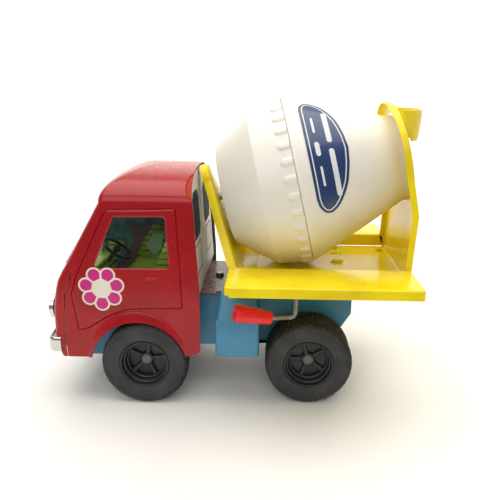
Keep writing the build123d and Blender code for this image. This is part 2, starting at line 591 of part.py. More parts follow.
def drum():
    save("drum_base_shell", drum_base_shell())
    save("drum_cone_shell", drum_cone_shell())
    save("drum_labels", Compound(children=[drum_label(turn) for turn in LABEL_TURNS]))
    save("drum_pin", DRUM_AXIS * Pos(0, 0, BASE_A + 0.5) * Cylinder(PIN_R, 17))
    save("drum_push_nut", DRUM_AXIS * Pos(0, 0, BASE_A + 6.9) * (Cylinder(5, 1.2) - Cylinder(PIN_R, 2)))


cab_shells()
cab_fittings()
save("flower_stickers", Compound(children=[flower(-1), flower(1)]))
main_chassis()
running_gear()
lever()
lever_saddles()
hinge()
mixer_bed()
drum()
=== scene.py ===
"""Looks of the pressed-tin mixer truck: detailed meshes, procedural materials, camera and light.

Shapes are worked out in millimetres in the CAD frame (X cab to tail, left side -Y, Z up)
and written to Blender in metres.
"""
import math
import bmesh
import bpy
import numpy as np
from mathutils import Matrix, Vector
from mathutils.geometry import delaunay_2d_cdt


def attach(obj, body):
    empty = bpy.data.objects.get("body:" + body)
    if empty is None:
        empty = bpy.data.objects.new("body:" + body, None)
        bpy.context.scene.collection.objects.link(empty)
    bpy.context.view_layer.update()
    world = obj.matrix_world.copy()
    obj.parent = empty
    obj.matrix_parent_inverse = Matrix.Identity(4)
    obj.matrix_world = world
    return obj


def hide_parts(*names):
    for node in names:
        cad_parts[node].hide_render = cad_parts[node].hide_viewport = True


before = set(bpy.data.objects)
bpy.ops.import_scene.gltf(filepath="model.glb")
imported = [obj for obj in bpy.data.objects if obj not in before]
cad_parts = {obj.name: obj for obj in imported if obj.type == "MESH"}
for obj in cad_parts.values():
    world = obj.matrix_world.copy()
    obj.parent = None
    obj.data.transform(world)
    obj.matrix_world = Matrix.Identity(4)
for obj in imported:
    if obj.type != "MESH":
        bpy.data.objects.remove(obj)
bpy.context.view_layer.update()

MM = 0.001
TIN = 0.6
TRUCK, BED, DRUM, LEVER = "truck", "bed", "drum", "lever"


# ---------------------------------------------------------------- materials
def new_material(name):
    made = bpy.data.materials.new(name)
    made.use_nodes = True
    tree = made.node_tree
    return made, tree, tree.nodes["Principled BSDF"]


def place_node(tree, kind, **values):
    """Adds a node and sets plain values on its sockets."""
    node = tree.nodes.new(kind)
    for key, value in values.items():
        node.inputs[key.replace("_", " ")].default_value = value
    return node


def mottle(tree, scale, detail=3.0):
    """Object-space noise: scale is in cycles per metre."""
    where = tree.nodes.new("ShaderNodeTexCoord")
    noise = place_node(tree, "ShaderNodeTexNoise", Scale=scale, Detail=detail, Roughness=0.55)
    tree.links.new(where.outputs["Object"], noise.inputs["Vector"])
    return noise.outputs["Fac"]


def ramp(tree, source, stops):
    """Colour ramp from (position, colour) pairs."""
    node = tree.nodes.new("ShaderNodeValToRGB")
    bands = node.color_ramp
    while len(bands.elements) < len(stops):
        bands.elements.new(0.5)
    for element, (at, colour) in zip(bands.elements, stops):
        element.position = at
        element.color = (*colour, 1)
    tree.links.new(source, node.inputs["Fac"])
    return node.outputs["Color"]


def add_bump(tree, shader, layers):
    """Chains bump nodes: each layer is (noise scale, strength, height in metres)."""
    last = None
    for scale, strength, height in layers:
        bump = place_node(tree, "ShaderNodeBump", Strength=strength, Distance=height)
        tree.links.new(mottle(tree, scale, 4.0), bump.inputs["Height"])
        if last:
            tree.links.new(last.outputs["Normal"], bump.inputs["Normal"])
        last = bump
    tree.links.new(last.outputs["Normal"], shader.inputs["Normal"])


def finish_material(name, shades, gloss, metallic=0.0, coat=0.0, scale=45.0, bumps=(), **extra):
    """A surface whose colour and roughness wander, with fine relief.

    shades are two or three colours from dark to light, gloss is (least, most) roughness."""
    made, tree, shader = new_material(name)
    tone = mottle(tree, scale)
    step = 0.4 / (len(shades) - 1)
    colour = ramp(tree, tone, [(0.3 + step * n, shade) for n, shade in enumerate(shades)])
    tree.links.new(colour, shader.inputs["Base Color"])
    low, high = gloss
    rough = ramp(tree, mottle(tree, scale * 7, 5.0), [(0.3, (low,) * 3), (0.75, (high,) * 3)])
    tree.links.new(rough, shader.inputs["Roughness"])
    shader.inputs["Metallic"].default_value = metallic
    shader.inputs["Coat Weight"].default_value = coat
    shader.inputs["Coat Roughness"].default_value = 0.06
    for key, value in extra.items():
        shader.inputs[key.replace("_", " ")].default_value = value
    if bumps:
        add_bump(tree, shader, bumps)
    return made


ORANGE_PEEL = ((420, 0.06, 0.0002), (1900, 0.03, 0.00005))
SMOOTH_SKIN = ((60, 0.05, 0.0003), (2600, 0.04, 0.00004))

RED = finish_material("red_enamel", [(0.30, 0.002, 0.006), (0.36, 0.003, 0.008), (0.40, 0.004, 0.010)],
                      (0.2, 0.3), coat=0.12, bumps=ORANGE_PEEL, Specular_IOR_Level=0.36)
ORANGE = finish_material("cut_edge_lacquer", [(0.33, 0.020, 0.006), (0.44, 0.035, 0.010)], (0.4, 0.55),
                         bumps=ORANGE_PEEL, Specular_IOR_Level=0.15)
YELLOW = finish_material("yellow_enamel", [(0.80, 0.60, 0.003), (0.90, 0.70, 0.005), (0.95, 0.76, 0.010)],
                         (0.2, 0.3), coat=0.1, bumps=ORANGE_PEEL, Specular_IOR_Level=0.28)
MAROON = finish_material("maroon_lacquer", [(0.10, 0.020, 0.020), (0.14, 0.030, 0.028)], (0.22, 0.34),
                         coat=0.1, bumps=((260, 0.08, 0.0003), (1900, 0.05, 0.00005)))
WHITE_TIN = finish_material("white_print", [(0.70, 0.71, 0.72), (0.78, 0.79, 0.80)], (0.5, 0.65),
                            bumps=((1900, 0.04, 0.00005),), Specular_IOR_Level=0.3)
DARK_PRINT = finish_material("dark_print", [(0.006, 0.012, 0.03), (0.012, 0.045, 0.07)], (0.6, 0.8),
                             bumps=ORANGE_PEEL, Specular_IOR_Level=0.1)
BLUE = finish_material("blue_moulding", [(0.040, 0.20, 0.34), (0.052, 0.24, 0.40), (0.066, 0.27, 0.44)],
                       (0.3, 0.42), bumps=SMOOTH_SKIN)
IVORY = finish_material("ivory_moulding", [(0.80, 0.76, 0.67), (0.87, 0.835, 0.75), (0.90, 0.87, 0.79)],
                        (0.28, 0.42), scale=22.0, bumps=((25, 0.03, 0.0003), (2600, 0.03, 0.00004)))
GRIP_RED = finish_material("grip_moulding", [(0.80, 0.010, 0.010), (0.88, 0.016, 0.014)], (0.2, 0.32),
                           bumps=SMOOTH_SKIN)
BLACK = finish_material("black_moulding", [(0.014, 0.014, 0.016), (0.026, 0.026, 0.029)], (0.32, 0.5),
                        bumps=SMOOTH_SKIN)
GLOSS_BLACK = finish_material("black_lacquer", [(0.004, 0.004, 0.005), (0.010, 0.010, 0.012)], (0.08, 0.18),
                              coat=0.6, bumps=ORANGE_PEEL)
RUBBER = finish_material("tyre_rubber", [(0.020, 0.020, 0.022), (0.030, 0.030, 0.033), (0.046, 0.044, 0.043)],
                         (0.5, 0.72), scale=90.0, bumps=((900, 0.25, 0.0002), (3800, 0.2, 0.0001)))
CHROME = finish_material("bright_plate", [(0.50, 0.49, 0.46), (0.72, 0.71, 0.69)], (0.08, 0.22), metallic=1.0,
                         bumps=((380, 0.1, 0.0003),))
STEEL = finish_material("dull_wire", [(0.17, 0.16, 0.145), (0.30, 0.285, 0.265)], (0.25, 0.42), metallic=1.0,
                        scale=140.0, bumps=((1500, 0.15, 0.0001),))
PINK = finish_material("pink_print", [(0.56, 0.008, 0.20), (0.63, 0.013, 0.245)], (0.32, 0.45), coat=0.2,
                       bumps=((700, 0.08, 0.0001),))
CREAM = finish_material("cream_print", [(0.80, 0.74, 0.60), (0.86, 0.81, 0.69)], (0.32, 0.45), coat=0.2,
                        bumps=((700, 0.08, 0.0001),))
NAVY = finish_material("navy_print", [(0.010, 0.033, 0.125), (0.014, 0.045, 0.16)], (0.26, 0.4), coat=0.25,
                       bumps=((700, 0.08, 0.0001),))
LABEL_WHITE = finish_material("label_white", [(0.72, 0.74, 0.76), (0.80, 0.81, 0.82)], (0.3, 0.42),
                              bumps=((700, 0.08, 0.0001),))


def seat_material():
    """Printed seat cloth: lime ground with fine dark ribs and broad shaded patches."""
    made, tree, shader = new_material("seat_print")
    where = tree.nodes.new("ShaderNodeTexCoord")
    wave = place_node(tree, "ShaderNodeTexWave", Scale=95.0, Distortion=0.4, Detail=1.0)
    wave.bands_direction = "Z"
    tree.links.new(where.outputs["Object"], wave.inputs["Vector"])
    ground = ramp(tree, mottle(tree, 60.0, 2.0), [(0.34, (0.14, 0.24, 0.05)), (0.46, (0.36, 0.44, 0.03)),
                                                  (0.6, (0.56, 0.60, 0.04)), (0.72, (0.45, 0.58, 0.2))])
    ribs = ramp(tree, wave.outputs["Fac"], [(0.08, (0.18, 0.2, 0.1)), (0.3, (1, 1, 1))])
    mix = tree.nodes.new("ShaderNodeMixRGB")
    mix.blend_type = "MULTIPLY"
    mix.inputs["Fac"].default_value = 0.85
    tree.links.new(ground, mix.inputs["Color1"])
    tree.links.new(ribs, mix.inputs["Color2"])
    tree.links.new(mix.outputs["Color"], shader.inputs["Base Color"])
    shader.inputs["Roughness"].default_value = 0.3
    add_bump(tree, shader, ORANGE_PEEL)
    return made


def glass_material():
    """Thin clear window film with a faint green tint."""
    made, tree, shader = new_material("window_film")
    tint = ramp(tree, mottle(tree, 30.0), [(0.3, (0.74, 0.86, 0.84)), (0.7, (0.82, 0.92, 0.89))])
    tree.links.new(tint, shader.inputs["Base Color"])
    shader.inputs["Transmission Weight"].default_value = 1.0
    shader.inputs["Roughness"].default_value = 0.03
    shader.inputs["IOR"].default_value = 1.2
    add_bump(tree, shader, ((120, 0.05, 0.0003),))
    return made


def lining_material():
    """Printed inside of the cab: dark teal with olive and brown patches."""
    made, tree, shader = new_material("lining_print")
    colour = ramp(tree, mottle(tree, 34.0, 4.0), [(0.36, (0.015, 0.045, 0.060)), (0.47, (0.05, 0.16, 0.16)),
                                                  (0.56, (0.09, 0.05, 0.06)), (0.68, (0.22, 0.30, 0.05))])
    tree.links.new(colour, shader.inputs["Base Color"])
    shader.inputs["Roughness"].default_value = 0.35
    add_bump(tree, shader, ORANGE_PEEL)
    return made


SEAT = seat_material()
TEAL_PRINT = finish_material("teal_print", [(0.035, 0.085, 0.105), (0.08, 0.19, 0.20), (0.17, 0.32, 0.28)],
                             (0.3, 0.45), scale=130.0)
BROWN_PRINT = finish_material("brown_print", [(0.17, 0.085, 0.08), (0.27, 0.15, 0.135)], (0.3, 0.45),
                              scale=90.0)
PALE_PRINT = finish_material("pale_green_print", [(0.46, 0.66, 0.42), (0.58, 0.76, 0.50)], (0.3, 0.45),
                             scale=90.0)
GLASS = glass_material()
LINING = lining_material()
CAP_GREY = finish_material("cap_grey", [(0.10, 0.098, 0.095), (0.14, 0.135, 0.13)], (0.35, 0.5),
                           bumps=SMOOTH_SKIN)


# ---------------------------------------------------------------- mesh helpers
def build(name, points, faces, body, slot, materials, sharp=35, marks=None, thick=0.0):
    """Makes one piece from points in millimetres. marks gives each face's material."""
    mesh = bpy.data.meshes.new(name)
    mesh.from_pydata((np.asarray(points, float) * MM).tolist(), [], [list(map(int, f)) for f in faces])
    mesh.validate()
    made = bpy.data.objects.new(name, mesh)
    bpy.context.scene.collection.objects.link(made)
    for item in materials:
        mesh.materials.append(item)
    if marks is not None and len(marks) == len(mesh.polygons):
        mesh.polygons.foreach_set("material_index", np.asarray(marks, np.int32))
    mesh.polygons.foreach_set("use_smooth", np.ones(len(mesh.polygons), bool))
    if thick:
        solid = made.modifiers.new("sheet", "SOLIDIFY")
        solid.thickness = thick * MM
        solid.offset = -1
    mesh.set_sharp_from_angle(angle=math.radians(sharp))
    if thick:
        work = bmesh.new()
        work.from_mesh(mesh)
        for edge in work.edges:
            edge.smooth = edge.smooth and not edge.is_boundary
        work.to_mesh(mesh)
        work.free()
    mesh.update()
    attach(made, body)
    return made


def quads(rows, columns, around=False, flip=False):
    """Faces of a grid stored row by row; around joins the last column to the first."""
    last = columns if around else columns - 1
    r, c = np.meshgrid(np.arange(rows - 1), np.arange(last), indexing="ij")
    n = (c + 1) % columns
    faces = np.stack([r * columns + c, r * columns + n, (r + 1) * columns + n, (r + 1) * columns + c], -1)
    faces = faces.reshape(-1, 4)
    return faces[:, ::-1] if flip else faces


class Pile:
    """Collects several meshes into one piece."""

    def __init__(self):
        self.points, self.faces, self.marks, self.count = [], [], [], 0

    def add(self, points, faces, mark=0):
        points = np.asarray(points, float).reshape(-1, 3)
        self.points.append(points)
        self.faces += [[int(i) + self.count for i in f] for f in faces]
        self.marks += [mark] * len(faces)
        self.count += len(points)

    def build(self, name, body, slot, materials, sharp=35, thick=0.0):
        points = np.concatenate(self.points)
        return build(name, points, self.faces, body, slot, materials, sharp, self.marks, thick)


def rounded(points, radii, steps=5, closed=False):
    """Replaces each corner of a path by an arc. Works in two or three dimensions."""
    points = [np.asarray(p, float) for p in points]
    count = len(points)
    radii = radii if hasattr(radii, "__len__") else [radii] * count
    made = []
    for n, point in enumerate(points):
        if not closed and n in (0, count - 1) or radii[n] == 0:
            made.append(point)
            continue
        back, ahead = points[n - 1] - point, points[(n + 1) % count] - point
        lengths = np.linalg.norm(back), np.linalg.norm(ahead)
        back, ahead = back / lengths[0], ahead / lengths[1]
        turn = math.pi - math.acos(np.clip(back @ ahead, -1, 1))
        if turn < 0.02:
            made.append(point)
            continue
        cut = min(radii[n] * math.tan(turn / 2), 0.48 * min(lengths))
        radius = cut / math.tan(turn / 2)
        middle = (back + ahead) / np.linalg.norm(back + ahead)
        centre = point + middle * radius / math.cos(turn / 2)
        start, end = point + back * cut - centre, point + ahead * cut - centre
        for step in range(steps + 1):
            t = step / steps
            w0, w1 = math.sin((1 - t) * turn) / math.sin(turn), math.sin(t * turn) / math.sin(turn)
            made.append(centre + start * w0 + end * w1)
    return np.array(made)


def resample(path, count, closed=False):
    """Evenly spaced points along a path."""
    path = np.asarray(path, float)
    if closed:
        path = np.vstack([path, path[:1]])
    gaps = np.linalg.norm(np.diff(path, axis=0), axis=1)
    along = np.concatenate([[0], np.cumsum(gaps)])
    at = np.linspace(0, along[-1], count + 1)[:-1] if closed else np.linspace(0, along[-1], count)
    return np.stack([np.interp(at, along, path[:, k]) for k in range(path.shape[1])], -1)


def lathe(profile, segments, place=None, relief=None):
    """Turns (radius, height) points about local Z. relief(height, angle, index) adds to the radius."""
    profile = np.asarray(profile, float)
    angle = np.linspace(0, 2 * math.pi, segments, endpoint=False)
    radius = np.repeat(profile[:, :1], segments, 1)
    height = np.repeat(profile[:, 1:], segments, 1)
    if relief is not None:
        radius = radius + relief(height, angle[None, :], np.arange(len(profile))[:, None])
    points = np.stack([radius * np.cos(angle), radius * np.sin(angle), height], -1).reshape(-1, 3)
    if place is not None:
        points = points @ place[0].T + place[1]
    return points, quads(len(profile), segments, around=True)


def tube(path, radius, segments=20):
    """A round bar along a path, closed at both ends."""
    path = np.asarray(path, float)
    ahead = np.gradient(path, axis=0)
    ahead /= np.linalg.norm(ahead, axis=1)[:, None]
    side = np.cross(ahead[0], [0.3, 0.9, 0.31])
    rings = []
    for n, point in enumerate(path):
        side = side - ahead[n] * (side @ ahead[n])
        side /= np.linalg.norm(side)
        up = np.cross(ahead[n], side)
        angle = np.linspace(0, 2 * math.pi, segments, endpoint=False)
        rings.append(point + radius * (np.cos(angle)[:, None] * side + np.sin(angle)[:, None] * up))
    faces = quads(len(path), segments, around=True).tolist()
    faces.append(list(range(segments))[::-1])
    faces.append([(len(path) - 1) * segments + n for n in range(segments)])
    return np.concatenate(rings), faces


def block(low, high, soft):
    """A box with rounded edges, built from rounded sections stacked along X."""
    low, high = np.asarray(low, float), np.asarray(high, float)
    corners = [(low[1], low[2]), (high[1], low[2]), (high[1], high[2]), (low[1], high[2])]
    middle, reach = (low[1:] + high[1:]) / 2, (high[1:] - low[1:]) / 2
    steps = 2
    section = rounded(corners, soft, steps + 1, closed=True)
    places = [(low[0] + soft * (1 - math.cos(turn)), soft * (1 - math.sin(turn)))
              for turn in np.linspace(0, math.pi / 2, steps + 1)]
    places += [(low[0] + high[0] - x, inset) for x, inset in reversed(places)]
    rings = []
    for x, inset in places:
        ring = middle + (section - middle) * (1 - inset / reach)
        rings.append(np.column_stack([np.full(len(ring), x), ring]))
    count = len(section)
    faces = quads(len(rings), count, around=True).tolist()
    faces.append(list(range(count))[::-1])
    faces.append([(len(rings) - 1) * count + n for n in range(count)])
    return np.concatenate(rings), faces


def local_frame(origin, x_axis, y_axis):
    """Rotation and origin that carry local points into the truck's frame."""
    x_axis, y_axis = np.array(x_axis, float), np.array(y_axis, float)
    x_axis /= np.linalg.norm(x_axis)
    y_axis /= np.linalg.norm(y_axis)
    return np.column_stack([x_axis, y_axis, np.cross(x_axis, y_axis)]), np.array(origin, float)


def carry(points, place):
    return np.asarray(points, float) @ place[0].T + place[1]


def outward(outline):
    """Unit normals pointing out of a closed anticlockwise outline."""
    run = np.roll(outline, -1, 0) - np.roll(outline, 1, 0)
    normal = np.column_stack([run[:, 1], -run[:, 0]])
    return normal / np.linalg.norm(normal, axis=1)[:, None]


def fill(outline, holes=(), extra=()):
    """Triangles of a flat shape with holes. extra are more points to keep inside it."""
    loops = [np.asarray(outline, float)] + [np.asarray(hole, float) for hole in holes]
    points, edges = [], []
    for loop in loops:
        first = len(points)
        points += [Vector(p) for p in loop]
        edges += [(first + n, first + (n + 1) % len(loop)) for n in range(len(loop))]
    points += [Vector(p) for p in extra]
    made = delaunay_2d_cdt(points, edges, [], 2 if holes else 1, 1e-4)
    flat = np.array([tuple(p) for p in made[0]])
    faces = []
    for face in made[2]:
        corner = flat[list(face)]
        area = np.cross(corner[1] - corner[0], corner[2] - corner[0])
        middle = corner.mean(0)
        if any(within(middle[None], hole)[0] for hole in loops[1:]) or not within(middle[None], loops[0])[0]:
            continue
        faces.append(list(face) if area > 0 else list(face)[::-1])
    return flat, faces


def within(points, outline):
    """Which points lie inside a closed outline."""
    x, y = points[:, :1], points[:, 1:]
    a, b = outline, np.roll(outline, -1, 0)
    span = (a[:, 1] > y) != (b[:, 1] > y)
    rise = np.where(b[:, 1] == a[:, 1], 1e-12, b[:, 1] - a[:, 1])
    cross = x < (b[:, 0] - a[:, 0]) * (y - a[:, 1]) / rise + a[:, 0]
    return (span & cross).sum(1) % 2 == 1


def path_distance(points, path, closed=True):
    """Distance from each point to a path."""
    path = np.asarray(path, float)
    a, b = (path, np.roll(path, -1, 0)) if closed else (path[:-1], path[1:])
    best = np.full(len(points), 1e9)
    for start, end in zip(a, b):
        run = end - start
        t = np.clip((points - start) @ run / max(run @ run, 1e-12), 0, 1)
        best = np.minimum(best, np.linalg.norm(points - start - t[:, None] * run, axis=1))
    return best


def inside_by(points, outline):
    """Distance to a closed outline, positive inside it."""
    away = path_distance(points, outline)
    return np.where(within(points, np.asarray(outline, float)), away, -away)


def split(points, faces, value):
    """Cuts every face along value = 0, so that the contour becomes edges of the mesh."""
    value = np.where(np.abs(value) < 1e-4, 1e-4, value)
    points, new, made = list(points), {}, []
    for face in faces:
        signs = [value[i] > 0 for i in face]
        if all(signs) or not any(signs):
            made.append(list(face))
            continue
        halves = {True: [], False: []}
        for n, i in enumerate(face):
            j = face[(n + 1) % len(face)]
            halves[signs[n]].append(i)
            if signs[n] == signs[(n + 1) % len(face)]:
                continue
            key = (min(i, j), max(i, j))
            if key not in new:
                t = value[i] / (value[i] - value[j])
                new[key] = len(points)
                points.append(points[i] + (points[j] - points[i]) * t)
            halves[True].append(new[key])
            halves[False].append(new[key])
        made += [half for half in halves.values() if len(half) > 2]
    return np.array(points), made


def centres(points, faces):
    return np.array([points[face].mean(0) for face in faces])


def keep(points, faces, wanted):
    """Drops the faces that are not wanted and the points that nothing uses."""
    faces = [face for face, want in zip(faces, wanted) if want]
    used = np.unique(np.concatenate([np.array(face) for face in faces]))
    place = np.full(len(points), -1)
    place[used] = np.arange(len(used))
    return points[used], [[int(place[i]) for i in face] for face in faces]


def plate(outline, low, high, holes=()):
    """A flat closed solid between two heights, drawn in x and y."""
    flat, faces = fill(outline, holes)
    count = len(flat)
    points = np.concatenate([np.column_stack([flat, np.full(count, h)]) for h in (high, low)])
    sides = []
    uses = {}
    for face in faces:
        for n, i in enumerate(face):
            uses[(i, face[(n + 1) % len(face)])] = True
    for i, j in uses:
        if (j, i) not in uses:
            sides.append([j, i, i + count, j + count])
    return points, faces + [[i + count for i in face[::-1]] for face in faces] + sides


def pan(outline, depth, fold=1.0, holes=(), extra=()):
    """A pressed sheet with a folded rim: its face is at z = 0 and the rim hangs to -depth."""
    normal = outward(outline)
    depth = np.broadcast_to(depth, len(outline))
    inner = outline - normal * fold
    flat, faces = fill(inner, holes, extra)
    count = len(outline)
    rings = []
    for turn in np.linspace(0, math.pi / 2, 5):
        edge = outline - normal * fold * (1 - math.sin(turn))
        rings.append(np.column_stack([edge, -np.minimum(fold * (1 - math.cos(turn)), depth)]))
    rings.append(np.column_stack([outline, -np.maximum(depth * 0.5, fold)]))
    rings.append(np.column_stack([outline, -np.maximum(depth, fold)]))
    rim = quads(len(rings), count, around=True, flip=True) + len(flat) - count
    points = np.concatenate([np.column_stack([flat, np.zeros(len(flat))])] + rings[1:])
    # the first ring is the fill's own outline, which delaunay keeps as its first points
    first = rim < len(flat)
    rim = np.where(first, rim - (len(flat) - count), rim)
    return points, faces + rim.tolist()


# ---------------------------------------------------------------- cab
FOLD_Z, ROOF_RISE = 113.5, 15.8
CAB_LOW = 26.0
POLE_X = -42.0           # the roof closes like a dome in front of this
NOSE_BOW, CORNER_LONG, CORNER_POWER = 1.0, 5.5, 3.0
ARCH = (-50.7, 22.9, 26.5)
DOOR = [(-64.4, 110.6), (-82, 75.1), (-85.6, 64.7), (-82.9, 44), (-77.8, 45.1), (-65.4, 52.7), (-57, 56.1),
        (-45.5, 56.9), (-26.2, 57.4), (-28.4, 111.5)]
WINDOW = [(-60.4, 106.8), (-72.7, 79.3), (-32.7, 79.6), (-34, 107)]
SEAM = [(-130, 76.9), (-84.3, 76.9), (-89.3, 64.2), (-91.1, 43.8), (-89.9, 20), (-130, 20)]
HANDLE = (-42.5, 73.8)
CRESCENT_Z, CRESCENT_TALL, CRESCENT_DEEP = 121.2, 5.2, 3.3      # lacquered dent at the roof's rear corners


def cab_half(z):
    return 46.0 - 1.8 * (np.minimum(z, FOLD_Z) - 28.0) / 85.5


def nose_at(z):
    """Front of the cab on the middle line."""
    levels = [20, 28, 34, 45, 57, 66, 71, 75, 79.4, FOLD_Z]
    places = [-95.8, -97.5, -100.1, -100.3, -99.9, -98.2, -96.8, -94.6, -91.9, -72.0]
    return np.interp(z, levels, places)


def rear_at(z):
    return np.interp(z, [20, 66, 114, 129], [-17.0, -16.7, -19.3, -21.4])


def cab_ring(z, sides=100, nose=118):
    """Outline of the cab at a height: left side, round the nose, right side."""
    half, front = cab_half(z), nose_at(z)
    phi = math.pi / 2 * np.linspace(0, 1, 400) ** 1.5
    y = -half * np.abs(np.cos(phi)) ** (2 / CORNER_POWER)
    x = front + CORNER_LONG * (1 - np.sin(phi) ** (2 / CORNER_POWER)) + NOSE_BOW * (y / half) ** 2
    corner = np.column_stack([x, y])
    full = np.vstack([corner, corner[::-1][1:] * [1, -1]])
    full = resample(full, nose + 1)
    start = full[0]
    along = np.linspace(float(rear_at(z)), start[0], sides + 1)[:-1]
    left = np.column_stack([along, np.full(sides, -half)])
    return np.vstack([left, full, left[::-1] * [1, -1]])


def cab_surface():
    """Outer skin of the cab as a grid from the bottom edge to the roof's ridge."""
    foot = cab_ring(FOLD_Z)
    rings = [np.column_stack([cab_ring(z), np.full(len(foot), z)])
             for z in np.arange(CAB_LOW, FOLD_Z + 0.01, 0.875)]
    ridge = np.column_stack([np.maximum(foot[:, 0], POLE_X), np.zeros(len(foot))])
    power = 2 / 2.05
    for step in np.linspace(0, math.pi / 2, 46)[1:]:
        rise = ROOF_RISE * math.sin(step) ** power
        z = FOLD_Z + rise
        ring = ridge + (foot - ridge) * max(math.cos(step), 1e-4) ** power
        side = foot[:, 0] > POLE_X
        back = float(rear_at(z)) - float(rear_at(FOLD_Z))
        ring[:, 0] += np.where(side, back * (foot[:, 0] - POLE_X) / (-19.3 - POLE_X), 0)
        drop = np.where(side, 0.6 * ((foot[:, 0] - POLE_X) / 22) ** 2, 0) * rise / ROOF_RISE
        rings.append(np.column_stack([ring, z - drop]))
    return np.concatenate(rings), quads(len(rings), len(foot), flip=True).tolist()


def on_side(points):
    return (np.abs(points[:, 1]) > 30) & (points[:, 2] < FOLD_Z + 1)


def side_value(points, value, elsewhere=-9.0):
    """A contour that only counts on the cab's two sides."""
    return np.where(on_side(points), value, elsewhere)


def cab_skin():
    """The skin cut along every crease, then folded, flared and split in two."""
    points, faces = cab_surface()
    door = rounded(DOOR, [2.5, 8, 10, 1.2, 3, 12, 12, 12, 1.2, 1.2], 5, closed=True)
    window = rounded(WINDOW, [1.6, 1.6, 1.2, 1.2], 4, closed=True)
    seam = rounded(SEAM, [0, 1.0, 6, 8, 0, 0], 4, closed=True)

    def shape(name, p):
        flat = p[:, [0, 2]]
        if name == "window":
            return side_value(p, inside_by(flat, window))
        if name == "arch":
            return side_value(p, ARCH[2] - np.hypot(flat[:, 0] - ARCH[0], flat[:, 1] - ARCH[1]))
        if name == "lip":
            level = np.hypot((flat[:, 0] + 51.4) / 28.2, (flat[:, 1] - 22.9) / 32.4)
            return side_value(p, (1 - level) * 30)
        if name == "seam":
            return inside_by(flat, seam)
        if name == "crescent":
            above = p[:, 2] - CRESCENT_Z
            deep = CRESCENT_DEEP * np.sqrt(np.clip(1 - (above / CRESCENT_TALL) ** 2, 0, 1))
            reach = p[:, 0] - (rear_at(p[:, 2]) - deep)
            return np.where((np.abs(p[:, 1]) > 24) & (np.abs(above) < CRESCENT_TALL), reach, -9.0)
        if name == "bottom":
            rear = 29.2 + (flat[:, 0] + 25.3) * 0.31
            return np.where(flat[:, 0] > -48, rear, 28.0) - flat[:, 1]
        if name == "screen":
            pane = rounded([(2.2, 82.5), (37, 82.5), (34.5, 109.3), (2.2, 109.3)], [1.2, 4, 4, 1.2], 4,
                           closed=True)
            return np.where(flat[:, 0] < -66, inside_by(np.abs(p[:, 1:]), pane), -9.0)
        return side_value(p, inside_by(flat, door))

    for name, offsets in (("door", (1.1, 0.45, 0, -0.45)), ("window", (0, -0.8)), ("lip", (0, 1.0)),
                          ("arch", (0,)), ("bottom", (0,)), ("crescent", (0.4, 0)), ("seam", (0.22, -0.22)),
                          ("screen", (0,))):
        for offset in offsets:
            points, faces = split(points, faces, shape(name, points) - offset)
    middle = centres(points, faces)
    gone = (shape("window", middle) > 0) | (shape("arch", middle) > 0) | (shape("bottom", middle) > 0)
    gone |= shape("screen", middle) > 0
    gap = shape("seam", middle)
    value = {name: shape(name, points) for name in ("door", "lip", "window")}
    side = np.sign(points[:, 1]) * on_side(points)
    door_in = value["door"]
    push = np.interp(door_in, [-0.45, 0, 0.45, 1.1], [0, -0.5, 0.05, 0.3])
    frame_fold = np.interp(value["window"], [-0.8, 0], [0, 0.45])
    push = np.where(value["window"] > -0.8, push - frame_fold, push)
    push += np.interp(value["lip"], [0, 1.0, 6.0], [0, 0.5, 1.9])
    dent = np.interp(shape("crescent", points), [0, 0.4], [0, 0.9])
    across = side * push - np.sign(points[:, 1]) * dent * 0.7
    points = points + np.column_stack([np.zeros(len(points)), across, -dent * 0.6])
    marks = (shape("crescent", middle) > 0).astype(int) * 2
    body = keep(points, faces, ~gone & (gap < -0.22)) + (marks[~gone & (gap < -0.22)],)
    nose = keep(points, faces, ~gone & (gap > 0.22))
    return body, nose


def cab():
    body, nose = cab_skin()
    points, faces, marks = body
    shell = build("tin_cab", points, faces, TRUCK, "red_tin", [RED, LINING, ORANGE], 42, marks, TIN)
    shell.modifiers["sheet"].material_offset = 1
    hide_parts("cab_shell")
    front = build("tin_nose", *nose, TRUCK, "red_tin", [RED, LINING], 42, thick=TIN)
    front.modifiers["sheet"].material_offset = 1
    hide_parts("cab_front_panel")
    for side in (-1, 1):
        x, z = HANDLE
        y = side * (cab_half(z) + 0.25)
        angle = np.linspace(0, 2 * math.pi, 40, endpoint=False)
        rings = []
        for t in np.linspace(0, math.pi / 2, 9):
            grow = math.cos(t)
            ring_x = x + np.sign(np.cos(angle)) * np.abs(np.cos(angle)) ** 0.6 * 4.2 * max(grow, 0.02)
            ring_z = z + np.sin(angle) * 1.25 * max(grow, 0.02) + 0.25 * math.sin(t)
            rings.append(np.column_stack([ring_x, np.full(40, y + side * 1.0 * math.sin(t)), ring_z]))
        faces = quads(len(rings), 40, around=True, flip=side > 0)
        build("door_handle_" + ("left" if side < 0 else "right"), np.concatenate(rings), faces, TRUCK,
              "red_tin", [RED])


